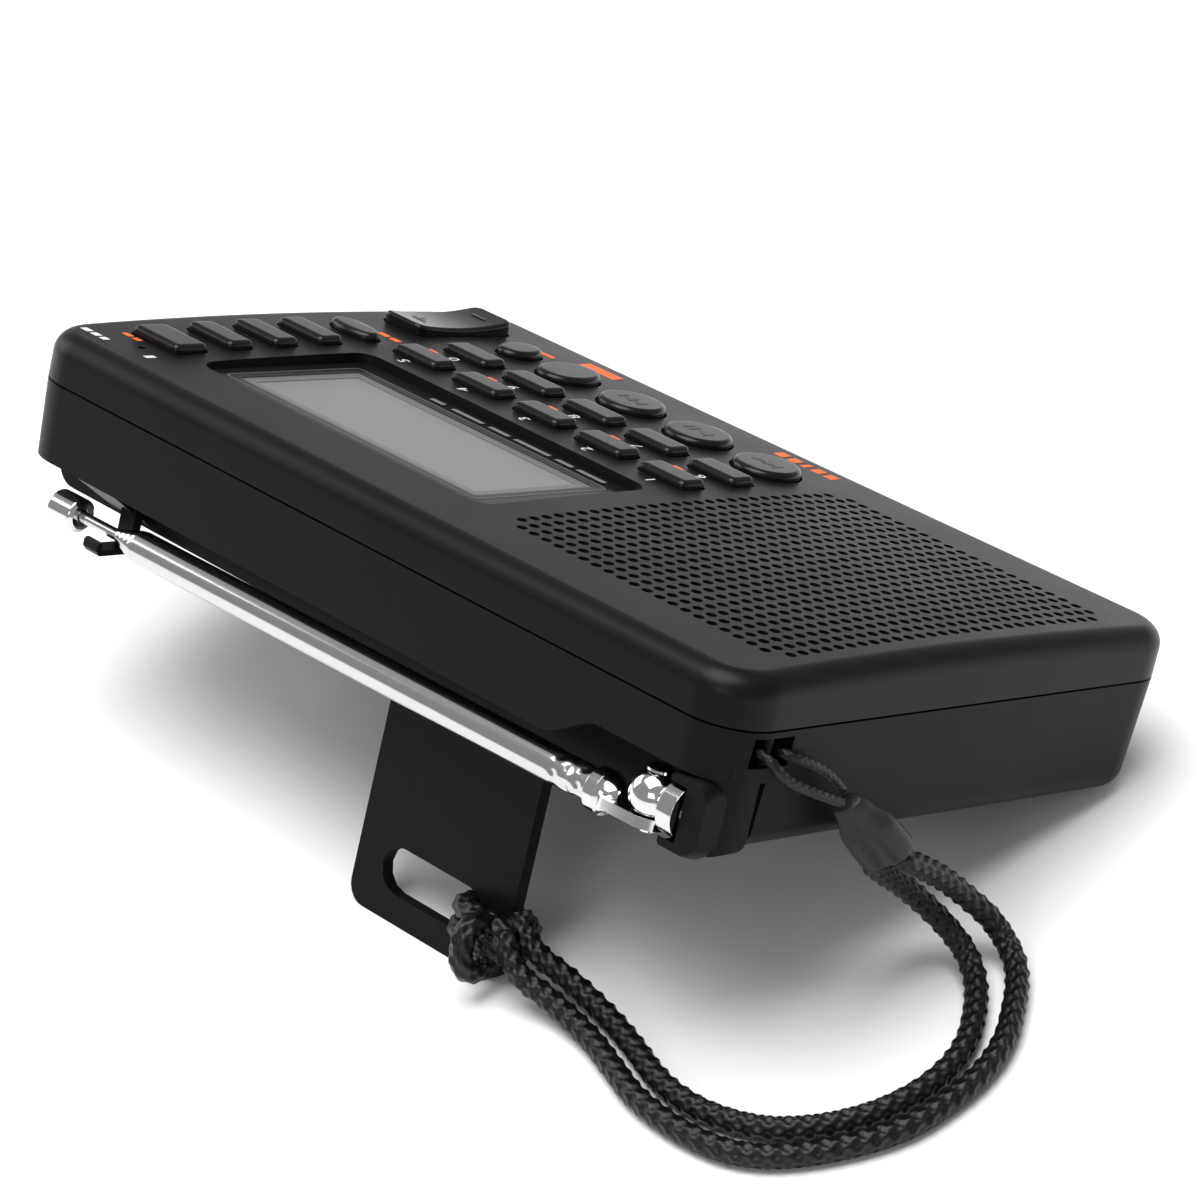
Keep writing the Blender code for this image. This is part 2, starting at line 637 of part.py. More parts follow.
def rear_small_cuts(mesh):
    """Counterbored screw holes and the three sockets in the right end."""
    for x, y in SCREWS:
        turned(mesh, [(-CASE_DEPTH - MESH_STEP, SCREW_HEAD_RADIUS + 0.25 * MM),
                      (SCREW_SEAT, SCREW_HEAD_RADIUS + 0.25 * MM),
                      (SCREW_SEAT, SCREW_RADIUS + 0.15 * MM),
                      (-FRONT_RIM, SCREW_RADIUS + 0.15 * MM)], "z", (x, y, 0), 14)
    for name, y, z, size in SOCKETS:
        if name == "earphone_jack":
            rod(mesh, "x", (0, y, z), size[0] / 2 + GAP, CASE_LENGTH - 3 * MM, CASE_LENGTH + MESH_STEP, 16)
        else:
            block(mesh, (CASE_LENGTH - 3 * MM, y - size[0] / 2 - GAP, z - size[1] / 2 - GAP),
                  (CASE_LENGTH + MESH_STEP, y + size[0] / 2 + GAP, z + size[1] / 2 + GAP))


def lanyard_pocket(mesh):
    block(mesh, (-MESH_STEP, POCKET_Y - POCKET_WIDTH / 2, POCKET_BOTTOM),
          (POCKET_DEPTH, POCKET_Y + POCKET_WIDTH / 2, POCKET_TOP))


def lanyard_post(mesh):
    rod(mesh, "z", (POST_RADIUS + 0.55 * MM, POCKET_Y, 0), POST_RADIUS,
        POCKET_BOTTOM - 0.6 * MM, POCKET_TOP + 0.4 * MM, 12)


def antenna_boss(mesh):
    """Round boss that carries the antenna's swivel, rounded off towards the case's corner."""
    turned(mesh, [(1.5 * MM, BOSS_RADIUS - 1.9 * MM), (1.9 * MM, BOSS_RADIUS - 0.9 * MM), (2.7 * MM, BOSS_RADIUS - 0.25 * MM),
                  (3.6 * MM, BOSS_RADIUS), (BOSS_FACE_X - 0.3 * MM, BOSS_RADIUS), (BOSS_FACE_X, BOSS_RADIUS - 0.3 * MM)],
           "x", (0, ANTENNA_Y - 0.2 * MM, -SWIVEL_DEPTH), 24)


def antenna_boss_block(mesh):
    """Rounded lobe between the boss and the channel's back wall."""
    rect = (REAR_DRAFT - 0.2 * MM, BOSS_FACE_X - 2.0 * MM, CHANNEL_BACK - 0.6 * MM, CASE_HEIGHT - 1.0 * MM)
    low, edge = -CASE_DEPTH - 0.3 * MM, 1.8 * MM
    rings = []
    for degrees in (90, 60, 30, 0):
        angle = math.radians(degrees)
        inset = edge * (1 - math.cos(angle))
        rings.append(box_ring(grown(rect, -inset), 2.0 * MM - inset, level(low + edge * (1 - math.sin(angle))), 3))
    rings.append(box_ring(rect, 2.0 * MM, level(SCOOP_CEILING + 0.6 * MM), 3))
    skin(mesh, rings)


def boss_limit(mesh):
    """Keeps the lobe flush with the case's rounded corner."""
    inset = REAR_DRAFT + 0.05 * MM
    skin(mesh, [case_ring(inset, level(-CASE_DEPTH - 1 * MM)), case_ring(inset, level(0))])


def boss_trim(mesh):
    """Keeps the boss inside the line of the top wall."""
    block(mesh, (-MESH_STEP, CASE_HEIGHT - 0.35 * MM, -CASE_DEPTH - 3 * MM),
          (BOSS_FACE_X + 1.5 * MM, CASE_HEIGHT + 5 * MM, SCOOP_CEILING - 0.05 * MM))


def swivel_bore(mesh):
    turned(mesh, [(1.9 * MM, 2.0 * MM), (4.6 * MM, 2.0 * MM), (4.6 * MM, BORE_RADIUS),
                  (BOSS_FACE_X + 3 * MM, BORE_RADIUS)], "x", (0, ANTENNA_Y, -SWIVEL_DEPTH), 24)


def antenna_gusset(mesh):
    """Sloping rib across the channel that carries the clip."""
    points = [(CHANNEL_BACK - 0.8 * MM, -CASE_DEPTH), (CASE_HEIGHT - REAR_DRAFT - 0.1 * MM, CHANNEL_CEILING),
              (CASE_HEIGHT - REAR_DRAFT - 0.1 * MM, CHANNEL_CEILING + 0.8 * MM),
              (CHANNEL_BACK - 0.8 * MM, CHANNEL_CEILING + 0.8 * MM)]
    prism(mesh, points, "x", CLIP_RIGHT - CLIP_WIDTH, CLIP_RIGHT)


def antenna_clip(mesh):
    """Hook that holds the thin rod: a short back wall, an arm that every tube can slide over, and a lip."""
    line = antenna_point(CLIP_RIGHT - PIVOT_X).z
    arm_top, arm_low = line - tube_radius(1) - 0.15 * MM, line - tube_radius(1) - 0.9 * MM
    lip_top = line - tube_radius(TUBE_COUNT) - 0.2 * MM
    back_low, back_high = ANTENNA_Y - 3.8 * MM, ANTENNA_Y - 2.5 * MM
    lip_low, lip_high = ANTENNA_Y + tube_radius(1) + 0.1 * MM, ANTENNA_Y + tube_radius(1) + 0.85 * MM
    points = [(back_low, arm_low), (lip_high - 0.6 * MM, arm_low), (lip_high, arm_low + 0.6 * MM),
              (lip_high, lip_top - 0.3 * MM), (lip_high - 0.3 * MM, lip_top), (lip_low, lip_top), (lip_low, arm_top),
              (back_high, arm_top), (back_high, CHANNEL_CEILING - 1.2 * MM), (back_low, CHANNEL_CEILING - 1.2 * MM)]
    prism(mesh, points, "x", CLIP_RIGHT - CLIP_WIDTH - 0.4 * MM, CLIP_RIGHT - 4.8 * MM)


# ---- antenna geometry ----------------------------------------------------------------------------
PIVOT = Vector((PIVOT_X, ANTENNA_Y, -PIVOT_DEPTH))


def antenna_point(distance):
    slope = math.radians(ANTENNA_DROOP)
    return PIVOT + Vector((math.cos(slope), 0, -math.sin(slope))) * distance


def tube_radius(number):
    return TUBE_RADIUS - number * (TUBE_WALL + TUBE_CLEARANCE)


OUTER_MOUTH = CASE_LENGTH - TUBE_END_FROM_RIGHT - PIVOT_X


def tube_body(number):
    """One telescoping tube: open at both ends, its mouth rolled in a little."""
    outer, inner = tube_radius(number), tube_radius(number) - TUBE_WALL
    start = TUBE_START if number == 0 else TUBE_START + 7.2 * MM + number * 0.8 * MM
    mouth = OUTER_MOUTH + number * TUBE_STEP_OUT
    lip = 0.05 * MM

    def build(mesh):
        turned(mesh, [(start, inner), (start, outer), (mouth - 0.8 * MM, outer), (mouth, outer - 0.12 * MM),
                      (mouth, inner - lip)], "x", (0, 0, 0), 16, closed=True)
    return build


ROD_START = TUBE_START + 7.2 * MM + TUBE_COUNT * 0.8 * MM
ROD_END = OUTER_MOUTH + (TUBE_COUNT - 1) * TUBE_STEP_OUT + ROD_SHOWS


def antenna_rod(mesh):
    rod(mesh, "x", (0, 0, 0), tube_radius(TUBE_COUNT), ROD_START, ROD_END + 2.4 * MM, 16)


def antenna_tip(mesh):
    hole = tube_radius(TUBE_COUNT) + 0.1 * MM
    end = ROD_END + TIP_LENGTH
    turned(mesh, [(ROD_END, hole), (ROD_END, TIP_RADIUS - 0.5 * MM), (ROD_END + 0.4 * MM, TIP_RADIUS),
                  (end - 0.6 * MM, TIP_RADIUS), (end, TIP_RADIUS - 0.6 * MM), (end, 0),
                  ], "x", (0, 0, 0), 20)


def tip_socket(mesh):
    rod(mesh, "x", (0, 0, 0), tube_radius(TUBE_COUNT) + 0.12 * MM, ROD_END - MESH_STEP, ROD_END + 2.6 * MM, 16)


def tongue_outline():
    half = TONGUE_WIDTH / 2
    end = TUBE_START - 2.0 * MM
    points = [(end, half - 0.6 * MM), (end - 1.5 * MM, half)]
    for step in range(9):
        angle = math.radians(90 + 180 * step / 8)
        points.append((half * math.cos(angle), half * math.sin(angle)))
    points += [(end - 1.5 * MM, -half), (end, -half + 0.6 * MM)]
    return points


def antenna_knuckle(mesh):
    """Flat tongue under the swivel's head."""
    prism(mesh, tongue_outline(), "z", -TONGUE_THICKNESS + 0.36 * MM, 0.36 * MM)


def knuckle_collar(mesh):
    """Neck, collar and the plug that the outer tube is crimped on."""
    start = TUBE_START - 0.2 * MM - COLLAR_LENGTH
    plug = tube_radius(0) - TUBE_WALL - TUBE_CLEARANCE
    turned(mesh, [(start - 2.0 * MM, 1.3 * MM), (start - 1.6 * MM, 1.7 * MM), (start - 0.9 * MM, 2.0 * MM),
                  (start - 0.2 * MM, 2.15 * MM), (start, COLLAR_RADIUS - 0.3 * MM), (start + 0.3 * MM, COLLAR_RADIUS),
                  (start + COLLAR_LENGTH - 0.3 * MM, COLLAR_RADIUS),
                  (start + COLLAR_LENGTH, COLLAR_RADIUS - 0.3 * MM), (start + COLLAR_LENGTH, plug),
                  (TUBE_START + 6.5 * MM, plug)], "x", (0, 0, 0), 20)


def knuckle_hole(mesh):
    rod(mesh, "z", (0, 0, 0), 0.75 * MM, -3 * MM, 3 * MM, 12)


def swivel_body(mesh):
    """Shaft in the boss, ring in its bore, and the ball that the tongue turns under."""
    profile = [(2.1 * MM, 0), (2.1 * MM, 1.75 * MM), (4.9 * MM, 1.75 * MM), (4.9 * MM, SWIVEL_RING_RADIUS),
               (7.1 * MM, SWIVEL_RING_RADIUS), (7.4 * MM, SWIVEL_RING_RADIUS - 0.4 * MM)]
    for degrees in (135, 105, 75, 48, 22, 0):
        angle = math.radians(degrees)
        profile.append((PIVOT_X + BALL_RADIUS * math.cos(angle), BALL_RADIUS * math.sin(angle)))
    profile[-1] = (profile[-1][0], 0)
    turned(mesh, profile, "x", (0, ANTENNA_Y, -SWIVEL_DEPTH), 16)


def swivel_flats(mesh):
    """Flat under the ball for the tongue, and flat on top for the screw head."""
    side = BALL_RADIUS + 1 * MM
    bottom, top = -PIVOT_DEPTH + 0.36 * MM + 0.25 * MM, -SWIVEL_DEPTH + BALL_RADIUS - 0.35 * MM
    x0 = PIVOT_X - TONGUE_WIDTH / 2 - GAP
    block(mesh, (x0, ANTENNA_Y - side, bottom - 4 * MM), (PIVOT_X + side, ANTENNA_Y + side, bottom))
    block(mesh, (x0, ANTENNA_Y - side, top), (PIVOT_X + side, ANTENNA_Y + side, top + 3 * MM))


def swivel_hole(mesh):
    rod(mesh, "z", (PIVOT_X, ANTENNA_Y, -SWIVEL_DEPTH), 0.75 * MM, -4 * MM, 4 * MM, 12)


def antenna_screw(mesh):
    top = -SWIVEL_DEPTH + BALL_RADIUS - 0.35 * MM + 0.12 * MM
    bottom = -PIVOT_DEPTH + 0.36 * MM - TONGUE_THICKNESS - 0.25 * MM
    profile = [(bottom - 0.5 * MM, 0), (bottom - 0.5 * MM, 1.0 * MM), (bottom, 1.3 * MM), (bottom, 0.6 * MM),
               (top, 0.6 * MM), (top, 1.6 * MM), (top + 0.3 * MM, 1.6 * MM), (top + 0.6 * MM, 1.1 * MM),
               (top + 0.6 * MM, 0)]
    turned(mesh, profile, "z", (PIVOT_X, ANTENNA_Y, 0), 16)


# ---- stand ---------------------------------------------------------------------------------------
def stand_body(mesh):
    """Slotted plate with a rounded hinge end and rounded foot corners."""
    x0, x1 = STAND_LEFT, STAND_LEFT + STAND_WIDTH
    top = STAND_HINGE.z
    corner = STAND_FOOT_CORNER
    points = [(x1, top), (x1, STAND_FOOT_Z + corner)]
    for step in range(1, 6):
        angle = math.radians(-90 * step / 5)
        points.append((x1 - corner + corner * math.cos(angle), STAND_FOOT_Z + corner + corner * math.sin(angle)))
    for step in range(6):
        angle = math.radians(-90 - 90 * step / 5)
        points.append((x0 + corner + corner * math.cos(angle), STAND_FOOT_Z + corner + corner * math.sin(angle)))
    points.append((x0, top))
    prism(mesh, points, "y", STAND_MIDDLE_Y - STAND_THICKNESS / 2, STAND_MIDDLE_Y + STAND_THICKNESS / 2)


def stand_barrel(mesh):
    """Rounded hinge edge with a stub at each end."""
    half, far = STAND_WIDTH / 2, STAND_WIDTH / 2 + STAND_STUB_LENGTH
    turned(mesh, [(-far, STAND_STUB_RADIUS), (-half, STAND_STUB_RADIUS), (-half, STAND_THICKNESS / 2),
                  (half, STAND_THICKNESS / 2), (half, STAND_STUB_RADIUS), (far, STAND_STUB_RADIUS)],
           "x", STAND_HINGE, 16)


def stand_foot_cut(mesh):
    """Bevel that lets the end of the open stand lie flat on the table."""
    slope = math.tan(tilt_angle())
    reach = STAND_THICKNESS + 2 * MM
    points = [(STAND_FACE_Y + MESH_STEP, STAND_FOOT_Z - slope * MESH_STEP),
              (STAND_FACE_Y - reach, STAND_FOOT_Z + slope * reach),
              (STAND_FACE_Y - reach, STAND_FOOT_Z - 3 * MM), (STAND_FACE_Y + MESH_STEP, STAND_FOOT_Z - 3 * MM)]
    prism(mesh, points, "x", STAND_LEFT - MESH_STEP, STAND_LEFT + STAND_WIDTH + MESH_STEP)


SLOT_MIDDLE_Z = STAND_FOOT_Z + STAND_SLOT_FROM_FOOT + STAND_SLOT_HEIGHT / 2


def stand_slot(mesh):
    radius = STAND_SLOT_HEIGHT / 2
    half = STAND_SLOT_LENGTH / 2 - radius
    points = []
    for centre, start in ((half, -90), (-half, 90)):
        for step in range(7):
            angle = math.radians(start + 180 * step / 6)
            points.append((STAND_HINGE.x + centre + radius * math.cos(angle), SLOT_MIDDLE_Z + radius * math.sin(angle)))
    prism(mesh, points, "y", STAND_MIDDLE_Y - 2 * MM, STAND_MIDDLE_Y + 2 * MM)


# ---- inside pieces -------------------------------------------------------------------------------
def lens_body(mesh):
    skin(mesh, [box_ring(LENS_RECT, LENS_CORNER - 0.2 * MM, level(-LENS_DEPTH - LENS_THICKNESS)),
                box_ring(LENS_RECT, LENS_CORNER - 0.2 * MM, level(-LENS_DEPTH))])


def lcd_body(mesh):
    rect = grown(LENS_RECT, -LENS_LEDGE - GAP)
    top = -LENS_DEPTH - LENS_THICKNESS - 0.35 * MM
    block(mesh, (rect[0], rect[2], top - LCD_THICKNESS), (rect[1], rect[3], top))


def speaker_frame(mesh):
    r, top = SPEAKER_RADIUS, -FACE_WALL - 1.2 * MM
    turned(mesh, [(top, r - 1.5 * MM), (top, r), (top - 1.2 * MM, r), (top - 1.4 * MM, r - 2.2 * MM),
                  (top - 5.5 * MM, MAGNET_RADIUS + 1 * MM), (top - 5.5 * MM, 4.2 * MM),
                  (top - 4.7 * MM, 4.2 * MM), (top - 4.7 * MM, MAGNET_RADIUS), (top - 0.8 * MM, r - 3 * MM),
                  (top - 0.6 * MM, r - 1.5 * MM)], "z", (SPEAKER_X, SPEAKER_Y, 0), 20, closed=True)


def speaker_cone(mesh):
    r, top = SPEAKER_RADIUS - 3.6 * MM, -FACE_WALL - 1.3 * MM
    turned(mesh, [(top - 2.1 * MM, 0), (top - 2.6 * MM, 3.5 * MM), (top - 3.3 * MM, 5 * MM),
                  (top - 0.4 * MM, r), (top, r), (top - 2.8 * MM, 5 * MM), (top - 2.1 * MM, 3.5 * MM),
                  (top - 1.6 * MM, 0)], "z", (SPEAKER_X, SPEAKER_Y, 0), 16)


def speaker_magnet(mesh):
    top = -FACE_WALL - 1.2 * MM - 5.5 * MM - 0.3 * MM
    turned(mesh, [(top, MAGNET_RADIUS), (top - 3 * MM, MAGNET_RADIUS), (top - 3 * MM, MAGNET_RADIUS - 1 * MM),
                  (top - 5 * MM, MAGNET_RADIUS - 1 * MM)], "z", (SPEAKER_X, SPEAKER_Y, 0), 16)


def board_body(mesh):
    block(mesh, (BOARD_LEFT, 11.2 * MM, BOARD_BOTTOM), (CASE_LENGTH - 2.6 * MM, CHANNEL_BACK - 2.6 * MM, BOARD_TOP))


MAT_TOP = -FACE_WALL - 3.0 * MM


def keymat_body(mesh):
    """L-shaped rubber sheet under the keys."""
    left, right = BOARD_LEFT + 1.5 * MM, CASE_LENGTH - 4.6 * MM
    column = LENS_RIGHT + 2.6 * MM
    low, step, high = 10.4 * MM, LENS_BOTTOM - 2.4 * MM, CASE_HEIGHT - 10.2 * MM
    points = [(left, low), (right, low), (right, high), (column, high), (column, step), (left, step)]
    prism(mesh, points, "z", MAT_TOP - 0.8 * MM, MAT_TOP)


def keymat_domes(mesh):
    places = [rect for name, rect, oval in key_table()]
    for rect in places:
        x, y = (rect[0] + rect[1]) / 2, (rect[2] + rect[3]) / 2
        top = middle_face(rect) - KEY_BOTTOM - KEY_TRAVEL - 0.1 * MM
        turned(mesh, [(MAT_TOP - 0.4 * MM, 1.7 * MM), (top, 1.0 * MM)], "z", (x, y, 0), 6)
    x = (ROCKER_RECT[0] + ROCKER_RECT[1]) / 2
    for y in (ROCKER_RECT[2] + 2.5 * MM, ROCKER_RECT[3] - 2.5 * MM):
        turned(mesh, [(MAT_TOP - 0.4 * MM, 1.7 * MM), (MAT_TOP + 0.2 * MM, 1.2 * MM)], "z", (x, y, 0), 6)


FERRITE = Vector((LENS_LEFT + 1.5 * MM, CHANNEL_BACK - 9.5 * MM, -13.0 * MM))


def ferrite_body(mesh):
    rod(mesh, "x", FERRITE, FERRITE_RADIUS, 0, FERRITE_LENGTH, 16)


def coil_body(mesh):
    inner, outer = FERRITE_RADIUS + 0.2 * MM, FERRITE_RADIUS + 0.8 * MM
    start, end = 12 * MM, 30 * MM
    turned(mesh, [(start, inner), (start, outer), (end, outer), (end, inner)], "x", FERRITE, 16, closed=True)


def battery_body(mesh):
    low = BATTERY_BOTTOM
    rings = []
    for z, inset in ((low, 0.5 * MM), (low + 0.5 * MM, 0), (low + BATTERY[2] - 0.5 * MM, 0), (low + BATTERY[2], 0.5 * MM)):
        rect = (BATTERY_LEFT + inset, BATTERY_RIGHT - inset, BATTERY_Y + inset, BATTERY_Y + BATTERY[1] - inset)
        rings.append(box_ring(rect, 1.5 * MM, level(z), 2))
    skin(mesh, rings)


def contacts_body(mesh):
    x1 = BATTERY_LEFT - 0.35 * MM
    low = LEDGE_TOP + GAP
    middle = BATTERY_Y + BATTERY[1] / 2
    block(mesh, (x1 - 1.8 * MM, middle - 6 * MM, low), (x1, middle + 6 * MM, low + 4.6 * MM))


SOCKETS = (("earphone_jack", CASE_HEIGHT - 19.0 * MM, -FRONT_RIM - 5.0 * MM, (4.6 * MM, 4.6 * MM)),
           ("card_slot", 44.0 * MM, -FRONT_RIM - 3.0 * MM, (11.4 * MM, 1.5 * MM)),
           ("usb_socket", 26.0 * MM, -FRONT_RIM - 3.4 * MM, (7.6 * MM, 2.6 * MM)))


def socket_body(y, z, size, depth):
    """A socket under the board whose mouth shows in the right end."""
    mouth = CASE_LENGTH - 1.0 * MM

    def build(mesh):
        wall = 0.35 * MM
        outer = (y - size[0] / 2, y + size[0] / 2, z - size[1] / 2, z + size[1] / 2)
        inner = (outer[0] + wall, outer[1] - wall, outer[2] + wall, outer[3] - wall)
        rings = []
        for x, rect in ((mouth - depth, outer), (mouth, outer), (mouth, inner), (mouth - depth + 1 * MM, inner)):
            rings.append([Vector((x, rect[1], rect[2])), Vector((x, rect[1], rect[3])),
                          Vector((x, rect[0], rect[3])), Vector((x, rect[0], rect[2]))])
        skin(mesh, rings)
    return build


def jack_body(mesh):
    y, z, size = SOCKETS[0][1:]
    mouth, back = CASE_LENGTH - 1.0 * MM, CASE_LENGTH - 13.0 * MM
    turned(mesh, [(back, size[0] / 2), (mouth, size[0] / 2), (mouth, 1.8 * MM), (back + 3 * MM, 1.8 * MM)],
           "x", (0, y, z), 16)


def screw_body(mesh):
    head, tip = -0.25 * MM, -FACE_WALL - 1.3 * MM - SCREW_SEAT
    turned(mesh, [(head - 1.75 * MM, SCREW_HEAD_RADIUS - 0.4 * MM), (head - 1.35 * MM, SCREW_HEAD_RADIUS),
                  (head, SCREW_HEAD_RADIUS), (head, SCREW_RADIUS), (tip, SCREW_RADIUS)], "z", (0, 0, 0), 12)


def microphone_body(mesh):
    rod(mesh, "z", MICROPHONE, 1.6 * MM, -FACE_WALL - 2.2 * MM, -FACE_WALL - 0.8 * MM, 12)


# ---- strap ---------------------------------------------------------------------------------------
# Route points are in millimetres in the table frame, chosen along the strap as it lies.
OUTER_STRAND = ((-5.9, 56.0, 19.6), (-5.6, 52.6, 16.2), (-5.5, 49.4, 12.6), (-5.9, 46.6, 8.8), (-7.3, 44.6, 5.4),
                (-9.4, 44.3, 2.9), (-12.2, 45.8, 1.8), (-14.9, 48.7, 1.6), (-17.2, 52.0, 1.6), (-19.3, 55.4, 1.6),
                (-20.9, 59.4, 1.6), (-21.8, 64.0, 1.6), (-21.9, 68.6, 1.6), (-21.5, 73.0, 1.6), (-20.2, 77.0, 1.6),
                (-18.2, 80.8, 1.6), (-15.6, 84.5, 1.6), (-12.6, 87.4, 1.6), (-9.0, 89.3, 1.6), (-4.6, 90.1, 1.6),
                (0.4, 90.1, 1.6), (5.4, 89.3, 1.6), (10.3, 87.6, 1.6), (15.0, 86.0, 1.7), (19.4, 85.2, 2.2),
                (23.2, 85.1, 3.2), (26.4, 85.6, 4.6))
INNER_STRAND = ((-3.0, 58.2, 18.9), (-2.6, 55.9, 16.0), (-2.4, 53.0, 12.4), (-2.9, 50.4, 8.6), (-4.6, 48.8, 5.3),
                (-7.2, 48.7, 3.0), (-9.9, 50.2, 1.8), (-12.3, 52.6, 1.6), (-14.6, 55.6, 1.6), (-16.6, 58.9, 1.6),
                (-17.9, 62.6, 1.6), (-18.4, 66.6, 1.6), (-18.1, 70.4, 1.6), (-17.1, 74.2, 1.6), (-15.3, 77.9, 1.6),
                (-13.0, 81.0, 1.6), (-10.0, 83.7, 1.6), (-6.4, 85.4, 1.6), (-2.4, 86.3, 1.6), (1.8, 86.3, 1.6),
                (6.0, 85.4, 1.6), (10.4, 83.8, 1.6), (15.0, 82.4, 1.8), (19.4, 81.7, 2.5), (23.4, 81.7, 3.8),
                (26.8, 82.3, 5.4))
THIN_LOOP = ((-1.9, 61.4, 30.7), (-1.8, 62.7, 33.1), (-1.6, 64.4, 35.3), (-1.4, 66.2, 37.1), (-1.0, 67.5, 38.2),
             (-0.1, 68.0, 38.6), (1.4, 67.9, 38.6), (2.4, 68.4, 38.8), (2.8, 69.4, 39.2), (2.4, 70.4, 39.7),
             (1.4, 70.8, 39.9), (-0.1, 70.8, 39.7), (-1.2, 70.7, 39.1), (-1.9, 70.2, 37.7), (-2.5, 68.8, 35.9),
             (-3.0, 66.8, 34.0), (-3.3, 64.8, 32.2), (-3.4, 63.0, 30.6))
FERRULE_TOP = (-2.8, 61.7, 29.6)
FERRULE_BOTTOM = (-4.4, 57.4, 20.8)
FERRULE_WIDTH = 6.8 * MM
FERRULE_THICKNESS = 5.0 * MM


def smooth_route(points, spacing):
    """Sample a Catmull-Rom curve through the route at an even spacing."""
    route = [Vector(point) * MM for point in points]
    ends = [2 * route[0] - route[1]] + route + [2 * route[-1] - route[-2]]
    fine = []
    for number in range(1, len(ends) - 2):
        p0, p1, p2, p3 = ends[number - 1:number + 3]
        for step in range(16):
            t = step / 16
            fine.append(0.5 * (2 * p1 + (p2 - p0) * t + (2 * p0 - 5 * p1 + 4 * p2 - p3) * t * t
                               + (3 * p1 - p0 - 3 * p2 + p3) * t * t * t))
    fine.append(route[-1])
    total = sum((b - a).length for a, b in zip(fine, fine[1:]))
    count = max(2, round(total / spacing))
    chosen, travelled, target = [fine[0]], 0.0, total / count
    for a, b in zip(fine, fine[1:]):
        travelled += (b - a).length
        if travelled >= target * len(chosen) - 1e-9 and len(chosen) < count:
            chosen.append(b)
    return chosen + [fine[-1]]


def cord(name, points, diameter, look, spacing):
    """A tube along a route, as a curve with a round bevel and filled ends."""
    data = bpy.data.curves.new(name, "CURVE")
    data.dimensions = "3D"
    data.bevel_depth = diameter / 2
    data.bevel_resolution = 2
    data.use_fill_caps = True
    data.twist_mode = "MINIMUM"
    spline = data.splines.new("POLY")
    places = smooth_route(points, spacing)
    spline.points.add(len(places) - 1)
    for point, place in zip(spline.points, places):
        point.co = (*place, 1.0)
    made = bpy.data.objects.new(name, data)
    data.materials.append(look)
    bpy.context.scene.collection.objects.link(made)
    made.parent = TABLE
    return made


def ferrule_body(mesh):
    """Soft sleeve that gathers the thin loop and the two strands, waisted between them."""
    top, bottom = Vector(FERRULE_TOP) * MM, Vector(FERRULE_BOTTOM) * MM
    down = (bottom - top).normalized()
    wide = Vector((0.73, 0.68, 0.0))
    wide = (wide - down * wide.dot(down)).normalized()
    thick = down.cross(wide)
    length = (bottom - top).length
    rings = []
    for share, scale in ((0.0, 0.50), (0.06, 0.62), (0.3, 0.74), (0.5, 0.96), (0.88, 1.0), (1.0, 0.92)):
        ring = []
        for step in range(16):
            angle = 2 * math.pi * (step + 0.5) / 16
            ring.append(top + down * length * share + wide * math.cos(angle) * scale * FERRULE_WIDTH / 2
                        + thick * math.sin(angle) * scale * FERRULE_THICKNESS / 2)
        rings.append(ring)
    skin(mesh, rings)


def knot_wrap(mesh):
    """Turn of the strap round the strip between the slot and the stand's edge."""
    strip_left, strip_right = STAND_LEFT, STAND_HINGE.x - STAND_SLOT_LENGTH / 2
    clear = GAP + 0.05 * MM
    inner = (strip_left - clear, strip_right + 1.3 * MM, STAND_MIDDLE_Y - STAND_THICKNESS / 2 - clear,
             STAND_MIDDLE_Y + STAND_THICKNESS / 2 + clear)
    band = 2.6 * MM
    half = STAND_SLOT_HEIGHT / 2 - 0.9 * MM
    rings = []
    for out, z in ((0, SLOT_MIDDLE_Z - half), (band - 0.7 * MM, SLOT_MIDDLE_Z - half), (band, SLOT_MIDDLE_Z - half + 0.7 * MM),
                   (band, SLOT_MIDDLE_Z + half - 0.7 * MM), (band - 0.7 * MM, SLOT_MIDDLE_Z + half), (0, SLOT_MIDDLE_Z + half)):
        rings.append(box_ring(grown(inner, out), 0.5 * MM + out, level(z), 3))
    skin(mesh, rings, closed=True)


def knot_lump(mesh):
    """The hitch itself, in front of the strip and hanging to the table."""
    centre = Vector((STAND_LEFT + 1.4 * MM, STAND_FACE_Y + 4.1 * MM, SLOT_MIDDLE_Z - 1.6 * MM))
    profile = []
    for step in range(7):
        angle = math.pi * step / 6
        profile.append((-4.3 * MM * math.cos(angle), 3.5 * MM * math.sin(angle)))
    profile[0], profile[-1] = (profile[0][0], 0), (profile[-1][0], 0)
    turned(mesh, profile, "z", centre, 12)


# ---- build ---------------------------------------------------------------------------------------
def tilt_angle():
    """Tilt at which the rounded rear lower edge and the stand's foot both touch the table."""
    edge = Vector((REAR_DRAFT + REAR_EDGE_RADIUS, -CASE_DEPTH + REAR_EDGE_RADIUS))
    foot = Vector((STAND_FACE_Y, STAND_FOOT_Z))
    reach = foot - edge
    return math.atan2(-reach.y, reach.x) - math.asin(REAR_EDGE_RADIUS / reach.length)


def add_frames():
    """The table frame, and in it the tilted case frame."""
    tilt = tilt_angle()
    foot_height = STAND_FACE_Y * math.sin(tilt) + STAND_FOOT_Z * math.cos(tilt)
    table = bpy.data.objects.new("table_frame", None)
    case = bpy.data.objects.new("case_frame", None)
    for frame in (table, case):
        bpy.context.scene.collection.objects.link(frame)
    case.parent = table
    case.rotation_euler = (tilt, 0, 0)
    case.location = (0, 0, -foot_height)
    return table, case


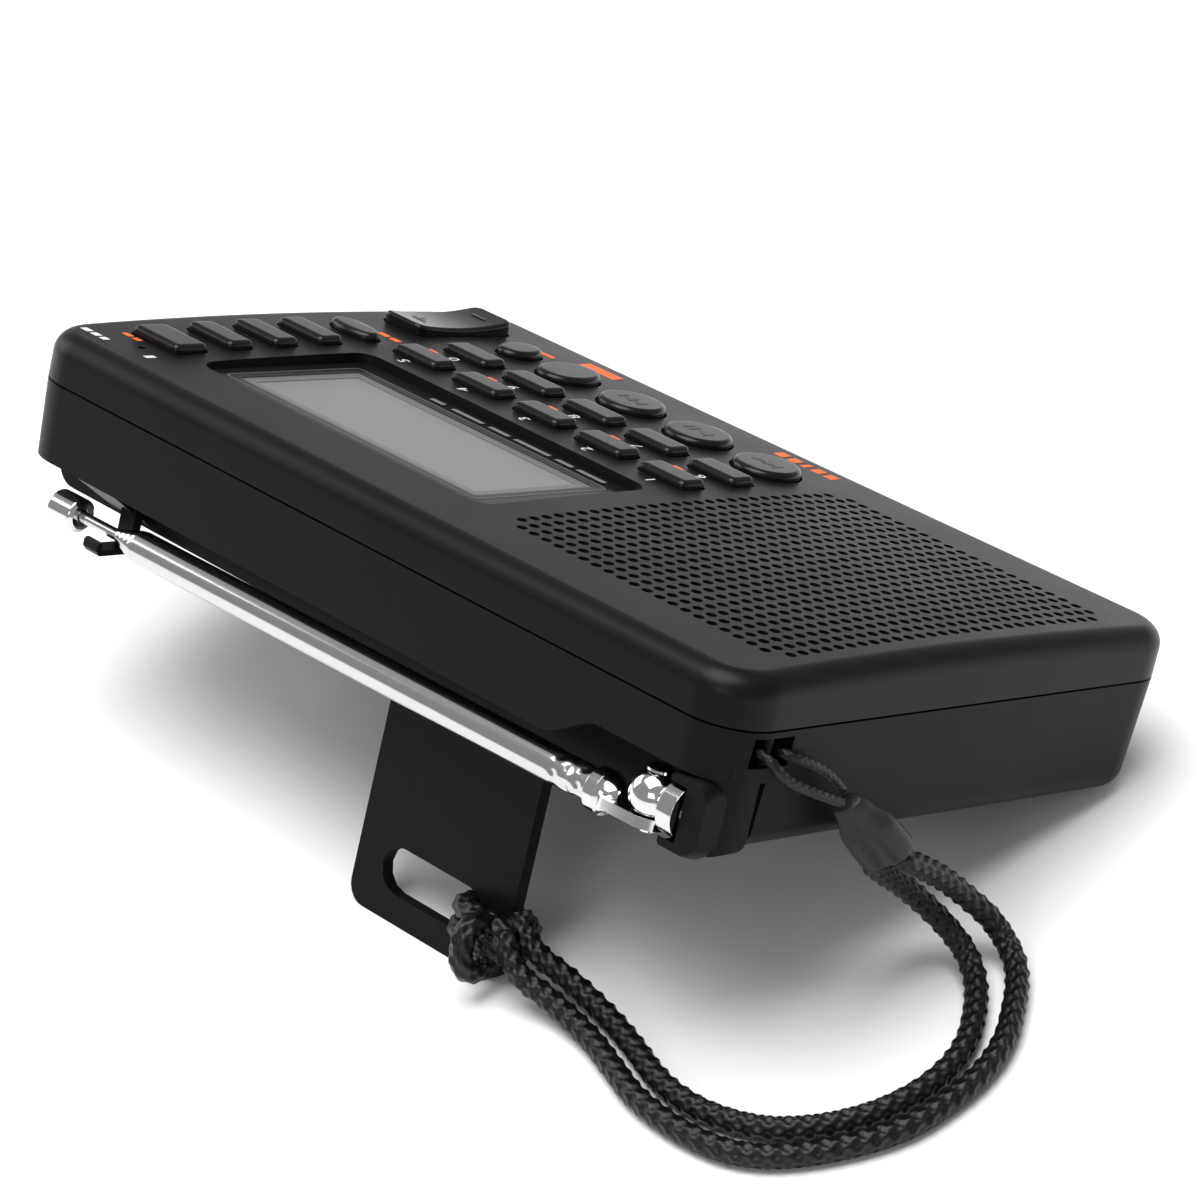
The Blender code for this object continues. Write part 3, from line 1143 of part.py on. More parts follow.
def look_table():
    return {
        "case": material("case_plastic", (0.018, 0.018, 0.020), 0.42),
        "rear": material("rear_plastic", (0.016, 0.016, 0.018), 0.48),
        "key": material("key_plastic", (0.022, 0.022, 0.024), 0.38),
        "lens": material("lens_clear", (0.10, 0.11, 0.12), 0.05),
        "lcd": material("lcd_glass", (0.52, 0.55, 0.52), 0.25),
        "chrome": material("chrome", (0.80, 0.80, 0.80), 0.10, 1.0),
        "steel": material("steel", (0.55, 0.55, 0.55), 0.35, 1.0),
        "stand": material("stand_plastic", (0.015, 0.015, 0.016), 0.5),
        "board": material("board_green", (0.02, 0.16, 0.07), 0.5),
        "rubber": material("rubber_grey", (0.30, 0.30, 0.30), 0.7),
        "ferrule": material("ferrule_rubber", (0.10, 0.10, 0.105), 0.5),
        "cone": material("cone_paper", (0.05, 0.05, 0.05), 0.9),
        "ferrite": material("ferrite_dark", (0.03, 0.028, 0.03), 0.6),
        "copper": material("copper_wire", (0.72, 0.33, 0.16), 0.35, 1.0),
        "battery": material("battery_wrap", (0.12, 0.14, 0.20), 0.4),
        "strap": material("strap_cord", (0.012, 0.012, 0.013), 0.85),
    }


def add_case(looks):
    front = node("front_housing", front_shell, looks["case"])
    combine(front, cutter("front_bosses", front_additions), "UNION")
    combine(front, cutter("front_openings", front_cuts), "DIFFERENCE")
    rear = node("rear_housing", rear_shell, looks["rear"])
    wall = cutter("channel_wall", channel_wall)
    combine(wall, cutter("channel_wall_limit", wall_limit), "INTERSECT")
    combine(rear, wall, "UNION")
    for name, build in (("stand_wall", rear_stand_wall),
                        ("battery_wall", rear_battery_wall), ("rear_bosses", rear_small_additions),
                        ("pocket_wall", rear_pocket_wall)):
        combine(rear, cutter(name, build), "UNION")
    for name, build in (("antenna_recess", rear_cuts), ("stand_recess", stand_recess), ("hinge_holes", hinge_holes),
                        ("cover_recess", cover_recess), ("battery_opening", battery_opening),
                        ("rear_holes", rear_small_cuts), ("lanyard_pocket", lanyard_pocket)):
        combine(rear, cutter(name, build), "DIFFERENCE")
    lobe = cutter("boss_lobe", antenna_boss_block)
    combine(lobe, cutter("boss_lobe_limit", boss_limit), "INTERSECT")
    combine(rear, lobe, "UNION")
    for name, build in (("lanyard_post", lanyard_post), ("boss", antenna_boss),
                        ("clip_gusset", antenna_gusset), ("clip_hook", antenna_clip)):
        combine(rear, cutter(name, build), "UNION")
    combine(rear, cutter("boss_trim", boss_trim), "DIFFERENCE")
    combine(rear, cutter("swivel_bore", swivel_bore), "DIFFERENCE")
    cover = node("battery_cover", lambda mesh: skin(mesh, rear_outer_rings()), looks["rear"])
    combine(cover, cutter("cover_outline", cover_outline), "INTERSECT")


def cover_outline(mesh):
    block(mesh, (COVER_LEFT, COVER_LOW, -CASE_DEPTH - MESH_STEP), (CASE_LENGTH + MESH_STEP, COVER_HIGH, COVER_TOP))


def add_keys(looks):
    for name, rect, oval in key_table():
        centre = ((rect[0] + rect[1]) / 2, (rect[2] + rect[3]) / 2, middle_face(rect))
        node(name, key_body(rect, oval), looks["key"], origin=centre)
    centre = ((ROCKER_RECT[0] + ROCKER_RECT[1]) / 2, (ROCKER_RECT[2] + ROCKER_RECT[3]) / 2, middle_face(ROCKER_RECT) - FACE_WALL)
    node("key_rocker", rocker_body, looks["key"], origin=centre)


def add_inside(looks):
    node("display_lens", lens_body, looks["lens"])
    node("lcd_module", lcd_body, looks["lcd"])
    node("speaker_frame", speaker_frame, looks["steel"])
    node("speaker_cone", speaker_cone, looks["cone"])
    node("speaker_magnet", speaker_magnet, looks["steel"])
    node("main_board", board_body, looks["board"])
    mat = node("keymat", keymat_body, looks["rubber"])
    combine(mat, cutter("mat_domes", keymat_domes), "UNION")
    node("microphone", microphone_body, looks["steel"])
    node("ferrite_rod", ferrite_body, looks["ferrite"])
    node("ferrite_coil", coil_body, looks["copper"])
    node("battery", battery_body, looks["battery"])
    node("battery_contacts", contacts_body, looks["steel"])
    node("earphone_jack", jack_body, looks["case"])
    for name, y, z, size in SOCKETS[1:]:
        depth = 8 * MM if name == "usb_socket" else 12 * MM
        node(name, socket_body(y, z, size, depth), looks["steel"])
    for number, (x, y) in enumerate(SCREWS):
        screw = node(f"housing_screw_{number + 1}", screw_body, looks["steel"])
        screw.location = (x, y, SCREW_SEAT)


def add_antenna(looks):
    swivel = node("antenna_swivel", swivel_body, looks["chrome"], origin=(PIVOT_X, ANTENNA_Y, -SWIVEL_DEPTH))
    combine(swivel, cutter("swivel_flats", swivel_flats), "DIFFERENCE")
    combine(swivel, cutter("swivel_hole", swivel_hole), "DIFFERENCE")
    node("antenna_screw", antenna_screw, looks["chrome"])
    antenna = bpy.data.objects.new("antenna_frame", None)
    bpy.context.scene.collection.objects.link(antenna)
    antenna.parent = CASE
    antenna.location = PIVOT
    antenna.rotation_euler = (0, math.radians(ANTENNA_DROOP), 0)
    knuckle = node("antenna_knuckle", antenna_knuckle, looks["chrome"], antenna)
    combine(knuckle, cutter("knuckle_collar", knuckle_collar, antenna), "UNION")
    combine(knuckle, cutter("knuckle_hole", knuckle_hole, antenna), "DIFFERENCE")
    for number in range(TUBE_COUNT):
        node(f"antenna_tube_{number + 1}", tube_body(number), looks["chrome"], antenna)
    node("antenna_rod", antenna_rod, looks["chrome"], antenna)
    tip = node("antenna_tip", antenna_tip, looks["chrome"], antenna)
    combine(tip, cutter("tip_socket", tip_socket, antenna), "DIFFERENCE")


def add_stand(looks):
    stand = node("kickstand", stand_body, looks["stand"], origin=STAND_HINGE)
    combine(stand, cutter("stand_barrel", stand_barrel), "UNION")
    combine(stand, cutter("stand_slot", stand_slot), "DIFFERENCE")
    combine(stand, cutter("stand_foot_cut", stand_foot_cut), "DIFFERENCE")


def add_strap(looks):
    cord("strap_loop", THIN_LOOP, THIN_CORD_DIAMETER, looks["strap"], 1.6 * MM)
    cord("strap_outer", OUTER_STRAND, CORD_DIAMETER, looks["strap"], 3.4 * MM)
    cord("strap_inner", INNER_STRAND, CORD_DIAMETER, looks["strap"], 3.4 * MM)
    node("strap_ferrule", ferrule_body, looks["ferrule"], TABLE)
    knot = node("strap_knot", knot_wrap, looks["strap"])
    combine(knot, cutter("knot_lump", knot_lump), "UNION")


def centre_model():
    """Put the origin under the middle of the radio, without the strap, at table height."""
    bpy.context.view_layer.update()
    graph = bpy.context.evaluated_depsgraph_get()
    low, high = [1.0, 1.0], [-1.0, -1.0]
    for made in bpy.context.scene.objects:
        if made.type != "MESH" or made.hide_render or made.name.startswith("strap_"):
            continue
        shape = made.evaluated_get(graph)
        for vertex in shape.data.vertices:
            spot = shape.matrix_world @ vertex.co
            for axis in (0, 1):
                low[axis] = min(low[axis], spot[axis])
                high[axis] = max(high[axis], spot[axis])
    TABLE.location = (-(low[0] + high[0]) / 2, -(low[1] + high[1]) / 2, 0)


for existing in list(bpy.data.objects):
    bpy.data.objects.remove(existing, do_unlink=True)
TABLE, CASE = add_frames()
LOOKS = look_table()
add_case(LOOKS)
add_keys(LOOKS)
add_inside(LOOKS)
add_antenna(LOOKS)
add_stand(LOOKS)
add_strap(LOOKS)
centre_model()
bpy.context.view_layer.update()
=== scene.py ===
import math

import bmesh
import bpy
from mathutils import Matrix, Vector


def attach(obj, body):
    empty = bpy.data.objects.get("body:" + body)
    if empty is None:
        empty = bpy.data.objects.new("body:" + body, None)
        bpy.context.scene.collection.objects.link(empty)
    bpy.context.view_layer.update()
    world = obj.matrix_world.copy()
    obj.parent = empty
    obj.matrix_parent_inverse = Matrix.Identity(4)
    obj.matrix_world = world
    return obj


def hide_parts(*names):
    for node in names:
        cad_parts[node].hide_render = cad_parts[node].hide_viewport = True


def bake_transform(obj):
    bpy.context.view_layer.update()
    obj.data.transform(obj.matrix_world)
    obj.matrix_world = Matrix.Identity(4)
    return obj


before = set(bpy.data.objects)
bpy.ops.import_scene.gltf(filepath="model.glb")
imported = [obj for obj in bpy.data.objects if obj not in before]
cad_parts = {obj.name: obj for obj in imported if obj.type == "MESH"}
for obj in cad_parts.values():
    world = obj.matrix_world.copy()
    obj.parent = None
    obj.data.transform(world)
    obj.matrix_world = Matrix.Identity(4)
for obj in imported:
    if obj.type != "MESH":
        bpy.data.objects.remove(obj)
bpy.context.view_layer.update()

MM = 0.001

# ---- driving sizes ----
CASE_LENGTH = 120.0 * MM
CASE_HEIGHT = 79.4 * MM
CASE_DEPTH = 21.5 * MM
CORNER_RADIUS = 6.9 * MM
CROWN_RADIUS = 847.0 * MM        # the face is a very flat cylinder, curved up its height
FRONT_RIM = 6.75 * MM            # depth of the seam below the face
SEAM_GAP = 0.25 * MM
FRONT_EDGE_RADIUS = 2.6 * MM
REAR_EDGE_RADIUS = 3.0 * MM
REAR_DRAFT = 0.6 * MM
SIDE_WALL = 1.8 * MM
FACE_WALL = 2.0 * MM
REAR_WALL = 1.8 * MM
GAP = 0.3 * MM
MESH_STEP = 1.0 * MM             # how far a cutter runs past the face it cuts

# ---- display ----
LENS_LENGTH = 49.9 * MM
LENS_HEIGHT = 28.1 * MM
LENS_THICKNESS = 1.15 * MM
LENS_DEPTH = 1.2 * MM
LENS_CORNER = 2.5 * MM
LENS_FROM_RIGHT = 17.85 * MM
LENS_FROM_TOP = 11.45 * MM
LENS_LEDGE = 2.1 * MM
FRAME_DEPTH = 4.2 * MM

# ---- keys ----
KEY_RISE = 1.05 * MM
KEY_GAP = 0.25 * MM
KEY_FLANGE = 0.8 * MM
KEY_FLANGE_THICKNESS = 0.8 * MM
KEY_CORNER = 0.9 * MM
KEY_FILLET = 0.72 * MM
ROCKER_FILLET = 0.5 * MM
NUMBER_KEY = (7.9 * MM, 4.3 * MM)
NUMBER_PITCH_X = 10.95 * MM
NUMBER_PITCH_Y = 9.0 * MM
NUMBER_LEFT_X_FROM_RIGHT = 65.1 * MM
NUMBER_ROW_FROM_TOP = 46.25 * MM
WIDE_KEY = (8.6 * MM, 5.4 * MM)
WIDE_KEY_FROM_TOP = 13.0 * MM
SIDE_KEY = (8.5 * MM, 4.1 * MM)
SIDE_KEY_PITCH = 7.6 * MM
SIDE_KEY_FROM_TOP = 21.2 * MM
SIDE_COLUMN_FROM_RIGHT = 10.3 * MM
OVAL_SIDE_KEY = (7.8 * MM, 4.4 * MM)
OVAL_SIDE_KEY_FROM_TOP = 44.3 * MM
ROCKER = (7.2 * MM, 17.4 * MM)
ROCKER_RISE = 1.7 * MM
ROCKER_SAG = 0.7 * MM
ROCKER_FROM_RIGHT = 8.8 * MM
ROCKER_FROM_TOP = 62.4 * MM
SMALL_OVAL = (5.0 * MM, 6.8 * MM)
SMALL_OVAL_FROM_RIGHT = 19.8 * MM
LARGE_OVAL = (7.4 * MM, 9.4 * MM)
LARGE_OVAL_FROM_RIGHT = 28.9 * MM
ROUND_KEY = (8.6 * MM, 9.2 * MM)
ROUND_KEY_FROM_RIGHT = 40.4 * MM
ROUND_PITCH = 11.8 * MM
LOWER_ROW_FROM_TOP = 65.0 * MM

# ---- loudspeaker and grille ----
GRILLE_LEFT = 5.0 * MM
GRILLE_RIGHT = 47.0 * MM
GRILLE_BOTTOM = 10.6 * MM
GRILLE_TOP_FROM_TOP = 10.8 * MM
GRILLE_COLUMNS = 22
GRILLE_ROWS = 30
GRILLE_HOLE = 1.35 * MM

# ---- stand ----
STAND_WIDTH = 25.5 * MM
STAND_LEFT = 32.2 * MM
STAND_THICKNESS = 1.7 * MM
STAND_FACE_FROM_TOP = 9.4 * MM   # outer face of the open stand, below the case's top edge
STAND_REACH = 30.1 * MM          # from the case's back to the foot
STAND_FOOT_CORNER = 2.6 * MM
STAND_HINGE_DEPTH = 1.15 * MM    # hinge line, in from the case's back
STAND_STUB_RADIUS = 0.6 * MM
STAND_STUB_LENGTH = 1.3 * MM
STAND_SLOT_LENGTH = 16.8 * MM
STAND_SLOT_HEIGHT = 5.8 * MM
STAND_SLOT_FROM_FOOT = 3.5 * MM
STAND_RECESS_DEPTH = 2.4 * MM

# ---- antenna ----
ANTENNA_FROM_TOP = 2.4 * MM      # antenna line, below the case's top edge
SWIVEL_DEPTH = 17.8 * MM         # swivel axis, behind the face
PIVOT_X = 10.3 * MM
PIVOT_DEPTH = 20.36 * MM         # tube axis at the pivot, behind the face
ANTENNA_DROOP = 0.81             # degrees that the stowed tubes slope away from the case's back
TUBE_RADIUS = 2.08 * MM
TUBE_WALL = 0.22 * MM
TUBE_CLEARANCE = 0.12 * MM
TUBE_COUNT = 4
TUBE_START = 8.4 * MM            # from the pivot
TUBE_END_FROM_RIGHT = 23.0 * MM  # mouth of the outer tube
TUBE_STEP_OUT = 1.1 * MM         # each inner tube shows by this much
ROD_SHOWS = 7.1 * MM
TIP_RADIUS = 2.15 * MM
TIP_LENGTH = 4.9 * MM
COLLAR_RADIUS = 2.65 * MM
COLLAR_LENGTH = 2.1 * MM
TONGUE_WIDTH = 5.2 * MM
TONGUE_THICKNESS = 1.3 * MM
BALL_RADIUS = 3.0 * MM
SWIVEL_RING_RADIUS = 3.3 * MM
BORE_RADIUS = 3.8 * MM
BOSS_RADIUS = 4.75 * MM
BOSS_FACE_X = 7.0 * MM
CHANNEL_WIDTH = 7.9 * MM         # from the case's top edge to the channel's back wall
CHANNEL_DEPTH = 4.8 * MM         # from the case's back to the channel's ceiling
SCOOP_DEPTH = 8.5 * MM           # the same, round the swivel and in the finger scoop
SCOOP_FROM_X = 18.5 * MM
SCOOP_TO_X = 27.0 * MM
CLIP_FROM_RIGHT = 18.5 * MM
CLIP_WIDTH = 7.0 * MM

# ---- inside ----
BATTERY = (53.0 * MM, 34.0 * MM, 5.6 * MM)
BATTERY_Y = 15.0 * MM
BATTERY_FROM_RIGHT = 3.4 * MM
COVER_THICKNESS = 1.5 * MM
COVER_MARGIN_X = 3.4 * MM        # the cover passes the battery's inner end by this much
COVER_MARGIN_Y = 3.5 * MM        # and each long side by this much
SCREW_RADIUS = 1.0 * MM
SCREW_HEAD_RADIUS = 2.1 * MM
BOSS_WALL = 1.5 * MM

# ---- strap ----
CORD_DIAMETER = 3.0 * MM
THIN_CORD_DIAMETER = 1.3 * MM
POCKET_Y_FROM_TOP = 7.6 * MM
POCKET_WIDTH = 6.0 * MM
POCKET_HEIGHT = 3.5 * MM
POCKET_DEPTH = 3.9 * MM
POST_RADIUS = 0.7 * MM

FACE_MIDDLE = CASE_HEIGHT / 2


def face_z(y):
    """Height of the crowned face at y."""
    return -((y - FACE_MIDDLE) ** 2) / (2 * CROWN_RADIUS)


def level(z):
    return lambda y: z


def crowned(z):
    return lambda y: z + face_z(y)


def box_ring(rect, radius, height_at, corner_steps=5, side_steps=1):
    """Points round a rounded rectangle, counter-clockwise from its lower right corner arc."""
    x0, x1, y0, y1 = rect
    corners = ((x1 - radius, y0 + radius, -90), (x1 - radius, y1 - radius, 0),
               (x0 + radius, y1 - radius, 90), (x0 + radius, y0 + radius, 180))
    points = []
    for number, (cx, cy, start) in enumerate(corners):
        for step in range(corner_steps + 1):
            angle = math.radians(start + 90 * step / corner_steps)
            points.append((cx + radius * math.cos(angle), cy + radius * math.sin(angle)))
        if number in (0, 2):
            low, high = y0 + radius, y1 - radius
            for step in range(1, side_steps):
                share = step / side_steps if number == 0 else 1 - step / side_steps
                points.append((x1 if number == 0 else x0, low + (high - low) * share))
    return [Vector((x, y, height_at(y))) for x, y in points]


def oval_ring(rect, height_at, count=48):
    """Points round an ellipse that fills rect, even count, paired left to right."""
    x0, x1, y0, y1 = rect
    points = []
    for step in range(count):
        angle = math.radians(-90 + 360 * (step + 0.5) / count)
        x = (x0 + x1) / 2 + (x1 - x0) / 2 * math.cos(angle)
        y = (y0 + y1) / 2 + (y1 - y0) / 2 * math.sin(angle)
        points.append(Vector((x, y, height_at(y))))
    return points


def cap(mesh, loop):
    """Close a ring with strips that run straight across it."""
    half = len(loop) // 2
    right, left = loop[:half], loop[half:][::-1]
    for step in range(half - 1):
        mesh.faces.new((right[step], right[step + 1], left[step + 1], left[step]))


def bridge(mesh, low, high):
    """Quads between two rings of one count."""
    count = len(low)
    for step in range(count):
        after = (step + 1) % count
        mesh.faces.new((low[step], low[after], high[after], high[step]))


def skin(mesh, rings, closed=False):
    """Bridge rings in order; cap both ends, or join the last ring to the first."""
    loops = [[mesh.verts.new(point) for point in ring] for ring in rings]
    pairs = list(zip(loops, loops[1:]))
    if closed:
        pairs.append((loops[-1], loops[0]))
    for low, high in pairs:
        bridge(mesh, low, high)
    if not closed:
        cap(mesh, loops[0])
        cap(mesh, loops[-1])


def block(mesh, low, high):
    """A box between two corners."""
    rings = []
    for z in (low[2], high[2]):
        rings.append([Vector((high[0], low[1], z)), Vector((high[0], high[1], z)),
                      Vector((low[0], high[1], z)), Vector((low[0], low[1], z))])
    skin(mesh, rings)


def prism(mesh, points, axis, start, end):
    """A flat outline pushed along an axis; points give the other two coordinates in x, y, z order."""
    def place(point, at):
        spot = list(point)
        spot.insert("xyz".index(axis), at)
        return mesh.verts.new(spot)
    low = [place(point, start) for point in points]
    high = [place(point, end) for point in points]
    mesh.faces.new(low)
    mesh.faces.new(high[::-1])
    count = len(points)
    for step in range(count):
        after = (step + 1) % count
        mesh.faces.new((low[step], high[step], high[after], low[after]))


def turned(mesh, profile, axis, centre, segments=20, closed=False, phase=0.5):
    """Turn (along, radius) points about an axis through centre; closed profiles make rings."""
    segments = segments * 3
    along = Vector([1.0 if letter == axis else 0.0 for letter in "xyz"])
    side = Vector([1.0 if letter == {"x": "y", "y": "z", "z": "x"}[axis] else 0.0 for letter in "xyz"])
    other = along.cross(side)
    rings = []
    for distance, radius in profile:
        if radius < 1e-9:
            rings.append([mesh.verts.new(Vector(centre) + along * distance)])
            continue
        ring = []
        for step in range(segments):
            angle = 2 * math.pi * (step + phase) / segments
            offset = side * math.cos(angle) * radius + other * math.sin(angle) * radius
            ring.append(mesh.verts.new(Vector(centre) + along * distance + offset))
        rings.append(ring)
    pairs = list(zip(rings, rings[1:]))
    if closed:
        pairs.append((rings[-1], rings[0]))
    for low, high in pairs:
        for step in range(segments):
            after = (step + 1) % segments
            if len(low) == 1:
                mesh.faces.new((low[0], high[after], high[step]))
            elif len(high) == 1:
                mesh.faces.new((low[step], low[after], high[0]))
            else:
                mesh.faces.new((low[step], low[after], high[after], high[step]))
    if not closed:
        for ring in (rings[0], rings[-1]):
            if len(ring) > 1:
                mesh.faces.new(ring)


def rod(mesh, axis, centre, radius, start, end, segments=16):
    turned(mesh, [(start, radius), (end, radius)], axis, centre, segments)


# ---- case ----
def plan(inset):
    return (inset, CASE_LENGTH - inset, inset, CASE_HEIGHT - inset)


def case_ring(inset, height_at):
    radius = max(CORNER_RADIUS - inset, 1.5 * MM)
    return box_ring(plan(inset), radius, height_at, corner_steps=12, side_steps=26)


def fillet(radius, step=10):
    """Inset and drop at steps round a quarter-circle edge, from its foot to its top."""
    for degrees in range(0, 91, step):
        angle = math.radians(degrees)
        yield radius * (1 - math.cos(angle)), radius * (1 - math.sin(angle))


def front_outer_rings():
    rings = [case_ring(0, level(-FRONT_RIM))]
    return rings + [case_ring(inset, crowned(-drop)) for inset, drop in fillet(FRONT_EDGE_RADIUS)]


def rear_outer_rings():
    rings = [case_ring(0, level(-FRONT_RIM - SEAM_GAP))]
    return rings + [case_ring(REAR_DRAFT + inset, level(-CASE_DEPTH + drop))
                    for inset, drop in fillet(REAR_EDGE_RADIUS)]


def shell(mesh, outer, inner):
    """A cup: outer rings from the rim to the floor, inner rings from the rim to the floor."""
    loops = [[mesh.verts.new(point) for point in ring] for ring in outer[::-1] + inner]
    for low, high in zip(loops, loops[1:]):
        bridge(mesh, low, high)
    cap(mesh, loops[0])
    cap(mesh, loops[-1])


def front_shell(mesh):
    inner = [case_ring(SIDE_WALL, level(-FRONT_RIM)),
             case_ring(SIDE_WALL + 0.6 * MM, crowned(-FACE_WALL))]
    shell(mesh, front_outer_rings(), inner)


def rear_shell(mesh):
    inner = [case_ring(SIDE_WALL, level(-FRONT_RIM - SEAM_GAP)),
             case_ring(SIDE_WALL + REAR_DRAFT, level(-CASE_DEPTH + REAR_WALL))]
    shell(mesh, rear_outer_rings(), inner)


def tilt_angle():
    """Tilt at which the rounded rear lower edge and the stand's foot both touch the table."""
    edge = Vector((REAR_DRAFT + REAR_EDGE_RADIUS, -CASE_DEPTH + REAR_EDGE_RADIUS))
    foot = Vector((STAND_FACE_Y, STAND_FOOT_Z))
    reach = foot - edge
    return math.atan2(-reach.y, reach.x) - math.asin(REAR_EDGE_RADIUS / reach.length)


# ---- places that several pieces share ----
LENS_RIGHT = CASE_LENGTH - LENS_FROM_RIGHT
LENS_LEFT = LENS_RIGHT - LENS_LENGTH
LENS_TOP = CASE_HEIGHT - LENS_FROM_TOP
LENS_BOTTOM = LENS_TOP - LENS_HEIGHT
LENS_RECT = (LENS_LEFT, LENS_RIGHT, LENS_BOTTOM, LENS_TOP)
GRILLE_TOP = CASE_HEIGHT - GRILLE_TOP_FROM_TOP
REAR_INSIDE = -CASE_DEPTH + REAR_WALL
CHANNEL_BACK = CASE_HEIGHT - CHANNEL_WIDTH
CHANNEL_CEILING = -CASE_DEPTH + CHANNEL_DEPTH
SCOOP_CEILING = -CASE_DEPTH + SCOOP_DEPTH
ANTENNA_Y = CASE_HEIGHT - ANTENNA_FROM_TOP
STAND_FACE_Y = CASE_HEIGHT - STAND_FACE_FROM_TOP
STAND_MIDDLE_Y = STAND_FACE_Y - STAND_THICKNESS / 2
STAND_HINGE = Vector((STAND_LEFT + STAND_WIDTH / 2, STAND_MIDDLE_Y, -CASE_DEPTH + STAND_HINGE_DEPTH))
STAND_FOOT_Z = -CASE_DEPTH - STAND_REACH
BATTERY_RIGHT = CASE_LENGTH - BATTERY_FROM_RIGHT
BATTERY_LEFT = BATTERY_RIGHT - BATTERY[0]
COVER_LEFT = BATTERY_LEFT - COVER_MARGIN_X
COVER_LOW = BATTERY_Y - COVER_MARGIN_Y
COVER_HIGH = BATTERY_Y + BATTERY[1] + COVER_MARGIN_Y
COVER_TOP = -CASE_DEPTH + COVER_THICKNESS
LEDGE_TOP = COVER_TOP + GAP + 1.6 * MM
SCREWS = ((8.5 * MM, 7.5 * MM), (14.0 * MM, CASE_HEIGHT - 15.4 * MM),
          (50.0 * MM, 6.8 * MM), (CASE_LENGTH - 16.7 * MM, 6.3 * MM))
SCREW_SEAT = -CASE_DEPTH + 3.0 * MM
POCKET_Y = CASE_HEIGHT - POCKET_Y_FROM_TOP
POCKET_TOP = -FRONT_RIM - SEAM_GAP - 0.7 * MM
POCKET_BOTTOM = POCKET_TOP - POCKET_HEIGHT
CLIP_RIGHT = CASE_LENGTH - CLIP_FROM_RIGHT + CLIP_WIDTH


def around(x, y, size):
    return (x - size[0] / 2, x + size[0] / 2, y - size[1] / 2, y + size[1] / 2)


def grown(rect, by):
    return (rect[0] - by, rect[1] + by, rect[2] - by, rect[3] + by)


def key_table():
    """Every push key: name, outline rectangle and whether it is oval."""
    column = CASE_LENGTH - SIDE_COLUMN_FROM_RIGHT
    keys = [("key_wide", around(column, CASE_HEIGHT - WIDE_KEY_FROM_TOP, WIDE_KEY), False)]
    for number in range(3):
        y = CASE_HEIGHT - SIDE_KEY_FROM_TOP - number * SIDE_KEY_PITCH
        keys.append((f"key_side_{number + 1}", around(column, y, SIDE_KEY), False))
    y = CASE_HEIGHT - OVAL_SIDE_KEY_FROM_TOP
    keys.append(("key_side_oval", around(column, y, OVAL_SIDE_KEY), True))
    for number in range(10):
        x = CASE_LENGTH - NUMBER_LEFT_X_FROM_RIGHT + (number % 5) * NUMBER_PITCH_X
        y = CASE_HEIGHT - NUMBER_ROW_FROM_TOP - (number // 5) * NUMBER_PITCH_Y
        keys.append((f"key_number_{(number + 1) % 10}", around(x, y, NUMBER_KEY), False))
    y = CASE_HEIGHT - LOWER_ROW_FROM_TOP
    keys.append(("key_small_oval", around(CASE_LENGTH - SMALL_OVAL_FROM_RIGHT, y, SMALL_OVAL), True))
    keys.append(("key_large_oval", around(CASE_LENGTH - LARGE_OVAL_FROM_RIGHT, y, LARGE_OVAL), True))
    for number in range(3):
        x = CASE_LENGTH - ROUND_KEY_FROM_RIGHT - number * ROUND_PITCH
        keys.append((f"key_transport_{number + 1}", around(x, y, ROUND_KEY), True))
    return keys


ROCKER_RECT = around(CASE_LENGTH - ROCKER_FROM_RIGHT, CASE_HEIGHT - ROCKER_FROM_TOP, ROCKER)


def key_ring(rect, oval, height_at, out=0.0):
    if oval:
        return oval_ring(grown(rect, out), height_at)
    return box_ring(grown(rect, out), KEY_CORNER + max(out, -0.5 * MM), height_at)


def middle_face(rect):
    return face_z((rect[2] + rect[3]) / 2)


def front_additions(mesh):
    """Window frame and screw bosses moulded inside the front."""
    block(mesh, (LENS_LEFT - 2 * MM, LENS_BOTTOM - 2 * MM, -FRAME_DEPTH),
          (LENS_RIGHT + 2 * MM, LENS_TOP + 1.6 * MM, -FACE_WALL + 0.4 * MM))
    for x, y in SCREWS:
        rod(mesh, "z", (x, y, 0), SCREW_RADIUS + BOSS_WALL, -FRONT_RIM, -FACE_WALL + 0.3 * MM, 12)


def grille_places():
    for column in range(GRILLE_COLUMNS):
        for row in range(GRILLE_ROWS):
            x = GRILLE_LEFT + (GRILLE_RIGHT - GRILLE_LEFT) * column / (GRILLE_COLUMNS - 1)
            y = GRILLE_BOTTOM + (GRILLE_TOP - GRILLE_BOTTOM) * row / (GRILLE_ROWS - 1)
            corner = column in (0, GRILLE_COLUMNS - 1) and row in (0, GRILLE_ROWS - 1)
            if not corner:
                yield x, y


MICROPHONE = Vector((CASE_LENGTH - 11.4 * MM, CASE_HEIGHT - 7.6 * MM, 0))


